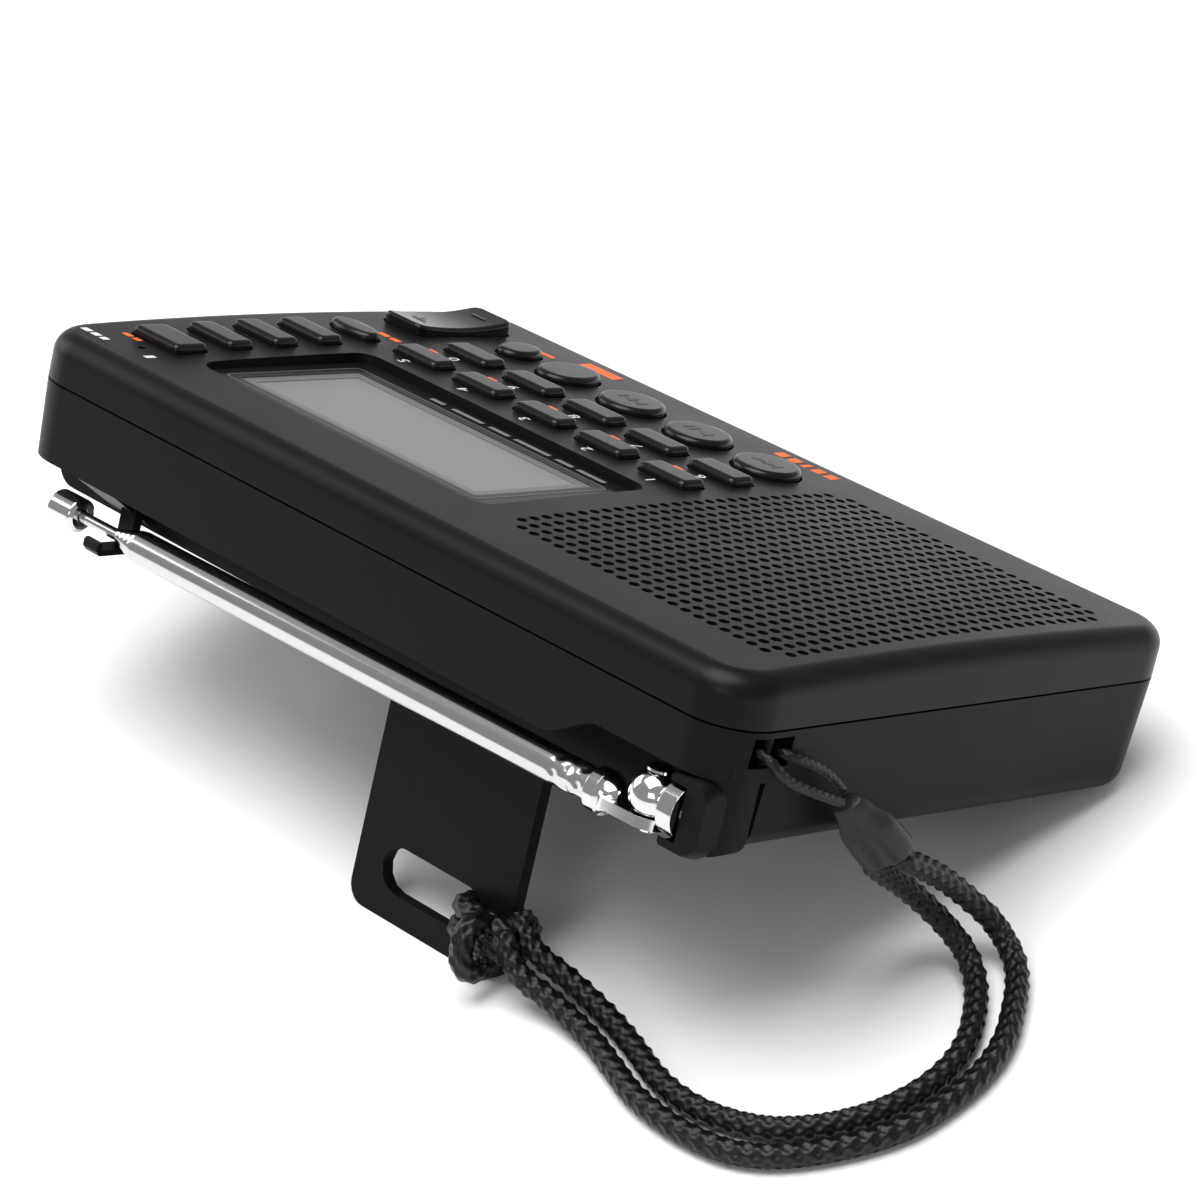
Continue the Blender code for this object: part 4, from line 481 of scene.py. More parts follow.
def front_cuts(mesh):
    """Window, key openings, grille, microphone hole and screw holes."""
    top, bottom = MESH_STEP, -FRAME_DEPTH - MESH_STEP
    recess = grown(LENS_RECT, 0.2 * MM)
    floor = -LENS_DEPTH - LENS_THICKNESS - 0.25 * MM
    skin(mesh, [box_ring(grown(LENS_RECT, -LENS_LEDGE), 1 * MM, level(bottom)),
                box_ring(grown(LENS_RECT, -LENS_LEDGE), 1 * MM, level(floor)),
                box_ring(recess, LENS_CORNER, level(floor)),
                box_ring(recess, LENS_CORNER, level(top))])
    for name, rect, oval in key_table():
        skin(mesh, [key_ring(rect, oval, level(bottom), KEY_GAP), key_ring(rect, oval, level(top), KEY_GAP)])
    opening = grown(ROCKER_RECT, KEY_GAP)
    skin(mesh, [box_ring(opening, 1.6 * MM, level(bottom)), box_ring(opening, 1.6 * MM, level(top))])
    for x, y in grille_places():
        rod(mesh, "z", (x, y, 0), GRILLE_HOLE / 2, -FACE_WALL - 2 * MM, top, 4)
    rod(mesh, "z", MICROPHONE, 0.5 * MM, bottom, top, 8)
    for x, y in SCREWS:
        rod(mesh, "z", (x, y, 0), SCREW_RADIUS + 0.15 * MM, -FRONT_RIM - MESH_STEP, -FACE_WALL - 0.9 * MM, 12)


PIVOT = Vector((PIVOT_X, ANTENNA_Y, -PIVOT_DEPTH))


def antenna_point(distance):
    slope = math.radians(ANTENNA_DROOP)
    return PIVOT + Vector((math.cos(slope), 0, -math.sin(slope))) * distance


def tube_radius(number):
    return TUBE_RADIUS - number * (TUBE_WALL + TUBE_CLEARANCE)


OUTER_MOUTH = CASE_LENGTH - TUBE_END_FROM_RIGHT - PIVOT_X


ROD_START = TUBE_START + 7.2 * MM + TUBE_COUNT * 0.8 * MM
ROD_END = OUTER_MOUTH + (TUBE_COUNT - 1) * TUBE_STEP_OUT + ROD_SHOWS


def scoop_outline():
    """The recess along the rear top edge: deep round the swivel, easing to the channel's depth."""
    back = -CASE_DEPTH - MESH_STEP
    points = [(CASE_LENGTH + MESH_STEP, back), (CASE_LENGTH + MESH_STEP, CHANNEL_CEILING)]
    steps = 24
    for step in range(steps + 1):
        share = step / steps
        ease = share * share * (3 - 2 * share)
        x = SCOOP_TO_X + (SCOOP_FROM_X - SCOOP_TO_X) * share
        points.append((x, CHANNEL_CEILING + (SCOOP_CEILING - CHANNEL_CEILING) * ease))
    points += [(-MESH_STEP, SCOOP_CEILING), (-MESH_STEP, back)]
    return points


def channel_wall(mesh):
    """Stepped thick wall behind the antenna channel and the finger scoop."""
    inside = SIDE_WALL - 0.4 * MM
    low, step = REAR_INSIDE - 0.7 * MM, SCOOP_TO_X + 2 * MM
    points = [(inside, low), (CASE_LENGTH - inside, low), (CASE_LENGTH - inside, CHANNEL_CEILING + 1.8 * MM),
              (step, CHANNEL_CEILING + 1.8 * MM), (step, SCOOP_CEILING + 1.8 * MM),
              (inside, SCOOP_CEILING + 1.8 * MM)]
    prism(mesh, points, "y", CHANNEL_BACK - 1.8 * MM, CASE_HEIGHT - REAR_DRAFT - 0.9 * MM)


def wall_limit(mesh):
    """Keeps the channel's wall inside the case's rounded corners."""
    inset = REAR_DRAFT + 0.4 * MM
    skin(mesh, [case_ring(inset, level(-CASE_DEPTH)), case_ring(inset, level(0))])


def rear_stand_wall(mesh):
    low, high = REAR_INSIDE - 0.7 * MM, -CASE_DEPTH + STAND_RECESS_DEPTH + 1.7 * MM
    block(mesh, (STAND_LEFT - 3.2 * MM, STAND_HINGE.y - STAND_REACH - 4 * MM, low),
          (STAND_LEFT + STAND_WIDTH + 3.2 * MM, CHANNEL_BACK - 0.5 * MM, high))


def rear_battery_wall(mesh):
    block(mesh, (COVER_LEFT - 1.5 * MM, COVER_LOW - 1.5 * MM, REAR_INSIDE - 0.7 * MM),
          (CASE_LENGTH - SIDE_WALL + 0.2 * MM, COVER_HIGH + 1.5 * MM, LEDGE_TOP))


def rear_small_additions(mesh):
    for x, y in SCREWS:
        rod(mesh, "z", (x, y, 0), SCREW_HEAD_RADIUS + BOSS_WALL, REAR_INSIDE - 0.7 * MM,
            -FRONT_RIM - SEAM_GAP - 0.05 * MM, 14)


def rear_pocket_wall(mesh):
    block(mesh, (SIDE_WALL - 0.5 * MM, POCKET_Y - POCKET_WIDTH / 2 - 1.5 * MM, POCKET_BOTTOM - 1.5 * MM),
          (POCKET_DEPTH + 1.6 * MM, POCKET_Y + POCKET_WIDTH / 2 + 1.5 * MM,
           -FRONT_RIM - SEAM_GAP - 0.05 * MM))


def rear_cuts(mesh):
    """Antenna recess along the rear top edge."""
    prism(mesh, scoop_outline(), "y", CHANNEL_BACK, CASE_HEIGHT + MESH_STEP)


def stand_recess(mesh):
    side = GAP
    y0 = STAND_HINGE.y - STAND_REACH - STAND_HINGE_DEPTH - 0.5 * MM
    block(mesh, (STAND_LEFT - side, y0, -CASE_DEPTH - MESH_STEP),
          (STAND_LEFT + STAND_WIDTH + side, STAND_FACE_Y + GAP, -CASE_DEPTH + STAND_RECESS_DEPTH))


def hinge_holes(mesh):
    reach = STAND_STUB_LENGTH + 0.4 * MM
    rod(mesh, "x", STAND_HINGE, STAND_STUB_RADIUS + 0.12 * MM,
        -STAND_WIDTH / 2 - reach, STAND_WIDTH / 2 + reach, 12)


def cover_recess(mesh):
    block(mesh, (COVER_LEFT - 0.25 * MM, COVER_LOW - 0.25 * MM, -CASE_DEPTH - MESH_STEP),
          (CASE_LENGTH + MESH_STEP, COVER_HIGH + 0.25 * MM, COVER_TOP + 0.25 * MM))


def battery_opening(mesh):
    block(mesh, (BATTERY_LEFT - 0.4 * MM, BATTERY_Y - 0.4 * MM, COVER_TOP - MESH_STEP),
          (BATTERY_RIGHT + 0.4 * MM, BATTERY_Y + BATTERY[1] + 0.4 * MM, LEDGE_TOP + MESH_STEP))


SOCKETS = (("earphone_jack", CASE_HEIGHT - 19.0 * MM, -FRONT_RIM - 5.0 * MM, (4.6 * MM, 4.6 * MM)),
           ("card_slot", 44.0 * MM, -FRONT_RIM - 3.0 * MM, (11.4 * MM, 1.5 * MM)),
           ("usb_socket", 26.0 * MM, -FRONT_RIM - 3.4 * MM, (7.6 * MM, 2.6 * MM)))


def rear_small_cuts(mesh):
    """Counterbored screw holes and the three sockets in the right end."""
    for x, y in SCREWS:
        turned(mesh, [(-CASE_DEPTH - MESH_STEP, SCREW_HEAD_RADIUS + 0.25 * MM),
                      (SCREW_SEAT, SCREW_HEAD_RADIUS + 0.25 * MM),
                      (SCREW_SEAT, SCREW_RADIUS + 0.15 * MM),
                      (-FRONT_RIM, SCREW_RADIUS + 0.15 * MM)], "z", (x, y, 0), 14)
    for name, y, z, size in SOCKETS:
        if name == "earphone_jack":
            rod(mesh, "x", (0, y, z), size[0] / 2 + GAP, CASE_LENGTH - 3 * MM, CASE_LENGTH + MESH_STEP, 16)
        else:
            block(mesh, (CASE_LENGTH - 3 * MM, y - size[0] / 2 - GAP, z - size[1] / 2 - GAP),
                  (CASE_LENGTH + MESH_STEP, y + size[0] / 2 + GAP, z + size[1] / 2 + GAP))


def lanyard_pocket(mesh):
    block(mesh, (-MESH_STEP, POCKET_Y - POCKET_WIDTH / 2, POCKET_BOTTOM),
          (POCKET_DEPTH, POCKET_Y + POCKET_WIDTH / 2, POCKET_TOP))


def lanyard_post(mesh):
    rod(mesh, "z", (POST_RADIUS + 0.55 * MM, POCKET_Y, 0), POST_RADIUS,
        POCKET_BOTTOM - 0.6 * MM, POCKET_TOP + 0.4 * MM, 12)


def antenna_boss(mesh):
    """Round boss that carries the antenna's swivel, rounded off towards the case's corner."""
    turned(mesh,
           [(1.5 * MM, BOSS_RADIUS - 1.9 * MM), (1.9 * MM, BOSS_RADIUS - 0.9 * MM),
            (2.7 * MM, BOSS_RADIUS - 0.25 * MM),
                  (3.6 * MM, BOSS_RADIUS), (BOSS_FACE_X - 0.3 * MM, BOSS_RADIUS),
            (BOSS_FACE_X, BOSS_RADIUS - 0.3 * MM)],
           "x", (0, ANTENNA_Y - 0.2 * MM, -SWIVEL_DEPTH), 24)


def antenna_boss_block(mesh):
    """Rounded lobe between the boss and the channel's back wall."""
    rect = (REAR_DRAFT - 0.2 * MM, BOSS_FACE_X - 2.0 * MM, CHANNEL_BACK - 0.6 * MM, CASE_HEIGHT - 1.0 * MM)
    low, edge = -CASE_DEPTH - 0.3 * MM, 1.8 * MM
    rings = [box_ring(grown(rect, -inset), 2.0 * MM - inset, level(low + drop), 10)
             for inset, drop in reversed(list(fillet(edge)))]
    rings.append(box_ring(rect, 2.0 * MM, level(SCOOP_CEILING + 0.6 * MM), 10))
    skin(mesh, rings)


def boss_limit(mesh):
    """Keeps the lobe flush with the case's rounded corner."""
    inset = REAR_DRAFT + 0.05 * MM
    skin(mesh, [case_ring(inset, level(-CASE_DEPTH - 1 * MM)), case_ring(inset, level(0))])


def boss_trim(mesh):
    """Keeps the boss inside the line of the top wall."""
    block(mesh, (-MESH_STEP, CASE_HEIGHT - 0.35 * MM, -CASE_DEPTH - 3 * MM),
          (BOSS_FACE_X + 1.5 * MM, CASE_HEIGHT + 5 * MM, SCOOP_CEILING - 0.05 * MM))


def swivel_bore(mesh):
    turned(mesh, [(1.9 * MM, 2.0 * MM), (4.6 * MM, 2.0 * MM), (4.6 * MM, BORE_RADIUS),
                  (BOSS_FACE_X + 3 * MM, BORE_RADIUS)], "x", (0, ANTENNA_Y, -SWIVEL_DEPTH), 24)


def antenna_gusset(mesh):
    """Sloping rib across the channel that carries the clip."""
    points = [(CHANNEL_BACK - 0.8 * MM, -CASE_DEPTH), (CASE_HEIGHT - REAR_DRAFT - 0.1 * MM, CHANNEL_CEILING),
              (CASE_HEIGHT - REAR_DRAFT - 0.1 * MM, CHANNEL_CEILING + 0.8 * MM),
              (CHANNEL_BACK - 0.8 * MM, CHANNEL_CEILING + 0.8 * MM)]
    prism(mesh, points, "x", CLIP_RIGHT - CLIP_WIDTH, CLIP_RIGHT)


def antenna_clip(mesh):
    """Hook that holds the thin rod: a short back wall, an arm that every tube can slide over, and a lip."""
    line = antenna_point(CLIP_RIGHT - PIVOT_X).z
    arm_top, arm_low = line - tube_radius(1) - 0.15 * MM, line - tube_radius(1) - 0.9 * MM
    lip_top = line - tube_radius(TUBE_COUNT) - 0.2 * MM
    back_low, back_high = ANTENNA_Y - 3.8 * MM, ANTENNA_Y - 2.5 * MM
    lip_low, lip_high = ANTENNA_Y + tube_radius(1) + 0.1 * MM, ANTENNA_Y + tube_radius(1) + 0.85 * MM
    points = [(back_low, arm_low), (lip_high - 0.6 * MM, arm_low), (lip_high, arm_low + 0.6 * MM),
              (lip_high, lip_top - 0.3 * MM), (lip_high - 0.3 * MM, lip_top), (lip_low, lip_top),
              (lip_low, arm_top),
              (back_high, arm_top), (back_high, CHANNEL_CEILING - 1.2 * MM),
              (back_low, CHANNEL_CEILING - 1.2 * MM)]
    prism(mesh, points, "x", CLIP_RIGHT - CLIP_WIDTH - 0.4 * MM, CLIP_RIGHT - 4.8 * MM)


def cover_outline(mesh):
    block(mesh, (COVER_LEFT, COVER_LOW, -CASE_DEPTH - MESH_STEP),
          (CASE_LENGTH + MESH_STEP, COVER_HIGH, COVER_TOP))


def tube_body(number):
    """One telescoping tube: open at both ends, its mouth rolled in a little."""
    outer, inner = tube_radius(number), tube_radius(number) - TUBE_WALL
    start = TUBE_START if number == 0 else TUBE_START + 7.2 * MM + number * 0.8 * MM
    mouth = OUTER_MOUTH + number * TUBE_STEP_OUT
    lip = 0.05 * MM

    def build(mesh):
        turned(mesh, [(start, inner), (start, outer), (mouth - 0.8 * MM, outer), (mouth, outer - 0.12 * MM),
                      (mouth, inner - lip)], "x", (0, 0, 0), 16, closed=True)
    return build


def antenna_rod(mesh):
    rod(mesh, "x", (0, 0, 0), tube_radius(TUBE_COUNT), ROD_START, ROD_END + 2.4 * MM, 16)


def antenna_tip(mesh):
    hole = tube_radius(TUBE_COUNT) + 0.1 * MM
    end = ROD_END + TIP_LENGTH
    turned(mesh, [(ROD_END, hole), (ROD_END, TIP_RADIUS - 0.5 * MM), (ROD_END + 0.4 * MM, TIP_RADIUS),
                  (end - 0.6 * MM, TIP_RADIUS), (end, TIP_RADIUS - 0.6 * MM), (end, 0),
                  ], "x", (0, 0, 0), 20)


def tip_socket(mesh):
    rod(mesh, "x", (0, 0, 0), tube_radius(TUBE_COUNT) + 0.12 * MM, ROD_END - MESH_STEP, ROD_END + 2.6 * MM,
        16)


def tongue_outline():
    half = TONGUE_WIDTH / 2
    end = TUBE_START - 2.0 * MM
    points = [(end, half - 0.6 * MM), (end - 1.5 * MM, half)]
    for step in range(9):
        angle = math.radians(90 + 180 * step / 8)
        points.append((half * math.cos(angle), half * math.sin(angle)))
    points += [(end - 1.5 * MM, -half), (end, -half + 0.6 * MM)]
    return points


def antenna_knuckle(mesh):
    """Flat tongue under the swivel's head."""
    prism(mesh, tongue_outline(), "z", -TONGUE_THICKNESS + 0.36 * MM, 0.36 * MM)


def knuckle_collar(mesh):
    """Neck, collar and the plug that the outer tube is crimped on."""
    start = TUBE_START - 0.2 * MM - COLLAR_LENGTH
    plug = tube_radius(0) - TUBE_WALL - TUBE_CLEARANCE
    turned(mesh, [(start - 2.0 * MM, 1.3 * MM), (start - 1.6 * MM, 1.7 * MM), (start - 0.9 * MM, 2.0 * MM),
                  (start - 0.2 * MM, 2.15 * MM), (start, COLLAR_RADIUS - 0.3 * MM),
                  (start + 0.3 * MM, COLLAR_RADIUS),
                  (start + COLLAR_LENGTH - 0.3 * MM, COLLAR_RADIUS),
                  (start + COLLAR_LENGTH, COLLAR_RADIUS - 0.3 * MM), (start + COLLAR_LENGTH, plug),
                  (TUBE_START + 6.5 * MM, plug)], "x", (0, 0, 0), 20)


def knuckle_hole(mesh):
    rod(mesh, "z", (0, 0, 0), 0.75 * MM, -3 * MM, 3 * MM, 12)


def swivel_body(mesh):
    """Shaft in the boss, ring in its bore, and the ball that the tongue turns under."""
    profile = [(2.1 * MM, 0), (2.1 * MM, 1.75 * MM), (4.9 * MM, 1.75 * MM), (4.9 * MM, SWIVEL_RING_RADIUS),
               (7.1 * MM, SWIVEL_RING_RADIUS), (7.4 * MM, SWIVEL_RING_RADIUS - 0.4 * MM)]
    for degrees in (135, 120, 105, 90, 75, 60, 45, 30, 15, 0):
        angle = math.radians(degrees)
        profile.append((PIVOT_X + BALL_RADIUS * math.cos(angle), BALL_RADIUS * math.sin(angle)))
    profile[-1] = (profile[-1][0], 0)
    turned(mesh, profile, "x", (0, ANTENNA_Y, -SWIVEL_DEPTH), 16)


def swivel_flats(mesh):
    """Flat under the ball for the tongue, and flat on top for the screw head."""
    side = BALL_RADIUS + 1 * MM
    bottom, top = -PIVOT_DEPTH + 0.36 * MM + 0.25 * MM, -SWIVEL_DEPTH + BALL_RADIUS - 0.35 * MM
    x0 = PIVOT_X - TONGUE_WIDTH / 2 - GAP
    block(mesh, (x0, ANTENNA_Y - side, bottom - 4 * MM), (PIVOT_X + side, ANTENNA_Y + side, bottom))
    block(mesh, (x0, ANTENNA_Y - side, top), (PIVOT_X + side, ANTENNA_Y + side, top + 3 * MM))


def swivel_hole(mesh):
    rod(mesh, "z", (PIVOT_X, ANTENNA_Y, -SWIVEL_DEPTH), 0.75 * MM, -4 * MM, 4 * MM, 12)


def antenna_screw(mesh):
    top = -SWIVEL_DEPTH + BALL_RADIUS - 0.35 * MM + 0.12 * MM
    bottom = -PIVOT_DEPTH + 0.36 * MM - TONGUE_THICKNESS - 0.25 * MM
    profile = [(bottom - 0.5 * MM, 0), (bottom - 0.5 * MM, 1.0 * MM), (bottom, 1.3 * MM), (bottom, 0.6 * MM),
               (top, 0.6 * MM), (top, 1.6 * MM), (top + 0.3 * MM, 1.6 * MM), (top + 0.6 * MM, 1.1 * MM),
               (top + 0.6 * MM, 0)]
    turned(mesh, profile, "z", (PIVOT_X, ANTENNA_Y, 0), 16)


def stand_body(mesh):
    """Slotted plate with a rounded hinge end and rounded foot corners."""
    x0, x1 = STAND_LEFT, STAND_LEFT + STAND_WIDTH
    top = STAND_HINGE.z
    corner = STAND_FOOT_CORNER
    points = [(x1, top), (x1, STAND_FOOT_Z + corner)]
    for step in range(1, 6):
        angle = math.radians(-90 * step / 5)
        points.append((x1 - corner + corner * math.cos(angle),
                       STAND_FOOT_Z + corner + corner * math.sin(angle)))
    for step in range(6):
        angle = math.radians(-90 - 90 * step / 5)
        points.append((x0 + corner + corner * math.cos(angle),
                       STAND_FOOT_Z + corner + corner * math.sin(angle)))
    points.append((x0, top))
    prism(mesh, points, "y", STAND_MIDDLE_Y - STAND_THICKNESS / 2, STAND_MIDDLE_Y + STAND_THICKNESS / 2)


def stand_barrel(mesh):
    """Rounded hinge edge with a stub at each end."""
    half, far = STAND_WIDTH / 2, STAND_WIDTH / 2 + STAND_STUB_LENGTH
    turned(mesh, [(-far, STAND_STUB_RADIUS), (-half, STAND_STUB_RADIUS), (-half, STAND_THICKNESS / 2),
                  (half, STAND_THICKNESS / 2), (half, STAND_STUB_RADIUS), (far, STAND_STUB_RADIUS)],
           "x", STAND_HINGE, 16)


def stand_foot_cut(mesh):
    """Bevel that lets the end of the open stand lie flat on the table."""
    slope = math.tan(tilt_angle())
    reach = STAND_THICKNESS + 2 * MM
    points = [(STAND_FACE_Y + MESH_STEP, STAND_FOOT_Z - slope * MESH_STEP),
              (STAND_FACE_Y - reach, STAND_FOOT_Z + slope * reach),
              (STAND_FACE_Y - reach, STAND_FOOT_Z - 3 * MM),
              (STAND_FACE_Y + MESH_STEP, STAND_FOOT_Z - 3 * MM)]
    prism(mesh, points, "x", STAND_LEFT - MESH_STEP, STAND_LEFT + STAND_WIDTH + MESH_STEP)


SLOT_MIDDLE_Z = STAND_FOOT_Z + STAND_SLOT_FROM_FOOT + STAND_SLOT_HEIGHT / 2


def stand_slot(mesh):
    radius = STAND_SLOT_HEIGHT / 2
    half = STAND_SLOT_LENGTH / 2 - radius
    points = []
    for centre, start in ((half, -90), (-half, 90)):
        for step in range(7):
            angle = math.radians(start + 180 * step / 6)
            points.append((STAND_HINGE.x + centre + radius * math.cos(angle),
                           SLOT_MIDDLE_Z + radius * math.sin(angle)))
    prism(mesh, points, "y", STAND_MIDDLE_Y - 2 * MM, STAND_MIDDLE_Y + 2 * MM)


# Route points are in millimetres in the table frame, chosen along the strap as it lies.
OUTER_STRAND = ((-5.9, 56.0, 19.6), (-5.6, 52.6, 16.2), (-5.5, 49.4, 12.6), (-5.9, 46.6, 8.8),
                (-7.3, 44.6, 5.4),
                (-9.4, 44.3, 2.9), (-12.2, 45.8, 1.8), (-14.9, 48.7, 1.6), (-17.2, 52.0, 1.6),
                (-19.3, 55.4, 1.6),
                (-20.9, 59.4, 1.6), (-21.8, 64.0, 1.6), (-21.9, 68.6, 1.6), (-21.5, 73.0, 1.6),
                (-20.2, 77.0, 1.6),
                (-18.2, 80.8, 1.6), (-15.6, 84.5, 1.6), (-12.6, 87.4, 1.6), (-9.0, 89.3, 1.6),
                (-4.6, 90.1, 1.6),
                (0.4, 90.1, 1.6), (5.4, 89.3, 1.6), (10.3, 87.6, 1.6), (15.0, 86.0, 1.7), (19.4, 85.2, 2.2),
                (23.2, 85.1, 3.2), (26.4, 85.6, 4.6))
INNER_STRAND = ((-3.0, 58.2, 18.9), (-2.6, 55.9, 16.0), (-2.4, 53.0, 12.4), (-2.9, 50.4, 8.6),
                (-4.6, 48.8, 5.3),
                (-7.2, 48.7, 3.0), (-9.9, 50.2, 1.8), (-12.3, 52.6, 1.6), (-14.6, 55.6, 1.6),
                (-16.6, 58.9, 1.6),
                (-17.9, 62.6, 1.6), (-18.4, 66.6, 1.6), (-18.1, 70.4, 1.6), (-17.1, 74.2, 1.6),
                (-15.3, 77.9, 1.6),
                (-13.0, 81.0, 1.6), (-10.0, 83.7, 1.6), (-6.4, 85.4, 1.6), (-2.4, 86.3, 1.6),
                (1.8, 86.3, 1.6),
                (6.0, 85.4, 1.6), (10.4, 83.8, 1.6), (15.0, 82.4, 1.8), (19.4, 81.7, 2.5), (23.4, 81.7, 3.8),
                (26.8, 82.3, 5.4))
THIN_LOOP = ((-1.9, 61.4, 30.7), (-1.8, 62.7, 33.1), (-1.6, 64.4, 35.3), (-1.4, 66.2, 37.1),
             (-1.0, 67.5, 38.2),
             (-0.1, 68.0, 38.6), (1.4, 67.9, 38.6), (2.4, 68.4, 38.8), (2.8, 69.4, 39.2), (2.4, 70.4, 39.7),
             (1.4, 70.8, 39.9), (-0.1, 70.8, 39.7), (-1.2, 70.7, 39.1), (-1.9, 70.2, 37.7),
             (-2.5, 68.8, 35.9),
             (-3.0, 66.8, 34.0), (-3.3, 64.8, 32.2), (-3.4, 63.0, 30.6))
FERRULE_TOP = (-2.8, 61.7, 29.6)
FERRULE_BOTTOM = (-4.4, 57.4, 20.8)
FERRULE_WIDTH = 6.8 * MM
FERRULE_THICKNESS = 5.0 * MM


def smooth_route(points, spacing):
    """Sample a Catmull-Rom curve through the route at an even spacing."""
    route = [Vector(point) * MM for point in points]
    ends = [2 * route[0] - route[1]] + route + [2 * route[-1] - route[-2]]
    fine = []
    for number in range(1, len(ends) - 2):
        p0, p1, p2, p3 = ends[number - 1:number + 3]
        for step in range(16):
            t = step / 16
            fine.append(0.5 * (2 * p1 + (p2 - p0) * t + (2 * p0 - 5 * p1 + 4 * p2 - p3) * t * t
                               + (3 * p1 - p0 - 3 * p2 + p3) * t * t * t))
    fine.append(route[-1])
    total = sum((b - a).length for a, b in zip(fine, fine[1:]))
    count = max(2, round(total / spacing))
    chosen, travelled, target = [fine[0]], 0.0, total / count
    for a, b in zip(fine, fine[1:]):
        travelled += (b - a).length
        if travelled >= target * len(chosen) - 1e-9 and len(chosen) < count:
            chosen.append(b)
    return chosen + [fine[-1]]


# ---- frames ----
TILT = tilt_angle()
FOOT_HEIGHT = STAND_FACE_Y * math.sin(TILT) + STAND_FOOT_Z * math.cos(TILT)
ORIGIN_Y = 43.109 * MM           # the row's origin, behind the case's lower edge line
TABLE_FRAME = Matrix.Translation((-CASE_LENGTH / 2, -ORIGIN_Y, 0))
CASE_FRAME = TABLE_FRAME @ Matrix.Translation((0, 0, -FOOT_HEIGHT)) @ Matrix.Rotation(TILT, 4, "X")
ANTENNA_FRAME = CASE_FRAME @ Matrix.Translation(PIVOT) @ Matrix.Rotation(math.radians(ANTENNA_DROOP), 4, "Y")


# ---- making pieces ----
def linked(name, data):
    made = bpy.data.objects.new(name, data)
    bpy.context.scene.collection.objects.link(made)
    return made


def raw(name, build):
    mesh = bmesh.new()
    build(mesh)
    bmesh.ops.recalc_face_normals(mesh, faces=mesh.faces)
    data = bpy.data.meshes.new(name)
    mesh.to_mesh(data)
    mesh.free()
    return linked(name, data)


def finished(name, data, frame_matrix, look, body, nodes=(), smooth=35, bevel=0.0):
    data.transform(frame_matrix)
    data.shade_smooth()
    data.set_sharp_from_angle(angle=math.radians(smooth))
    data.materials.clear()
    data.materials.append(LOOKS[look])
    made = linked(name, data)
    if bevel:
        rounded = made.modifiers.new("edges", "BEVEL")
        rounded.width = bevel
        rounded.segments = 3
        rounded.limit_method = "ANGLE"
        rounded.angle_limit = math.radians(40)
    normals = made.modifiers.new("normals", "WEIGHTED_NORMAL")
    normals.keep_sharp = True
    normals.weight = 100
    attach(made, body)
    if nodes:
        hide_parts(*nodes)
    return made


def piece(name, build, steps, frame_matrix, look, body, nodes=(), smooth=35, bevel=0.0):
    """A solid with its joins and cuts applied, placed in the row frame."""
    base = raw(name + "_raw", build)
    tools = []
    def join(target, build_tool, operation):
        tool = raw(f"{name}_tool_{len(tools)}", build_tool)
        step = target.modifiers.new(tool.name, "BOOLEAN")
        step.operation = operation
        step.object = tool
        step.solver = "EXACT"
        tools.append(tool)
        return tool

    for tool_build, operation, *limits in steps:
        made = join(base, tool_build, operation)
        for limit in limits:
            join(made, limit, "INTERSECT")
    bpy.context.view_layer.update()
    graph = bpy.context.evaluated_depsgraph_get()
    data = bpy.data.meshes.new_from_object(base.evaluated_get(graph))
    for used in [base] + tools:
        bpy.data.objects.remove(used, do_unlink=True)
    return finished(name, data, frame_matrix, look, body, nodes, smooth, bevel)


# ---- materials ----
def surface(name, color, roughness, metallic=0.0, grain=0.0, grain_size=0.25, vary=0.06, specular=0.5,
            stretch=(1, 1, 1), alpha=1.0, tint=0.0, sheen=0.0):
    """Principled surface: grain, patchy roughness and a little colour drift, in the piece's own space."""
    made = bpy.data.materials.new(name)
    made.use_nodes = True
    nodes, links = made.node_tree.nodes, made.node_tree.links
    shader = nodes["Principled BSDF"]
    shader.inputs["Metallic"].default_value = metallic
    shader.inputs["Specular IOR Level"].default_value = specular
    shader.inputs["Alpha"].default_value = alpha
    shader.inputs["Sheen Weight"].default_value = sheen
    place = nodes.new("ShaderNodeTexCoord")
    mapping = nodes.new("ShaderNodeMapping")
    mapping.inputs["Scale"].default_value = stretch
    links.new(place.outputs["Object"], mapping.inputs["Vector"])
    patches = nodes.new("ShaderNodeTexNoise")
    patches.inputs["Scale"].default_value = 90
    patches.inputs["Detail"].default_value = 4
    links.new(mapping.outputs["Vector"], patches.inputs["Vector"])
    rough = nodes.new("ShaderNodeMapRange")
    rough.inputs["To Min"].default_value = max(roughness - vary, 0.02)
    rough.inputs["To Max"].default_value = min(roughness + vary, 1)
    links.new(patches.outputs["Fac"], rough.inputs["Value"])
    links.new(rough.outputs["Result"], shader.inputs["Roughness"])
    if tint:
        blend = nodes.new("ShaderNodeMix")
        blend.data_type = "RGBA"
        blend.inputs[6].default_value = (*[c * (1 - tint) for c in color], 1)
        blend.inputs[7].default_value = (*[min(1, c * (1 + tint)) for c in color], 1)
        links.new(patches.outputs["Fac"], blend.inputs[0])
        links.new(blend.outputs[2], shader.inputs["Base Color"])
    else:
        shader.inputs["Base Color"].default_value = (*color, 1)
    if grain:
        fine = nodes.new("ShaderNodeTexNoise")
        fine.inputs["Scale"].default_value = 1 / (grain_size * MM)
        fine.inputs["Detail"].default_value = 2
        links.new(mapping.outputs["Vector"], fine.inputs["Vector"])
        bump = nodes.new("ShaderNodeBump")
        bump.inputs["Strength"].default_value = grain
        bump.inputs["Distance"].default_value = 0.00008
        links.new(fine.outputs["Fac"], bump.inputs["Height"])
        links.new(bump.outputs["Normal"], shader.inputs["Normal"])
    return made


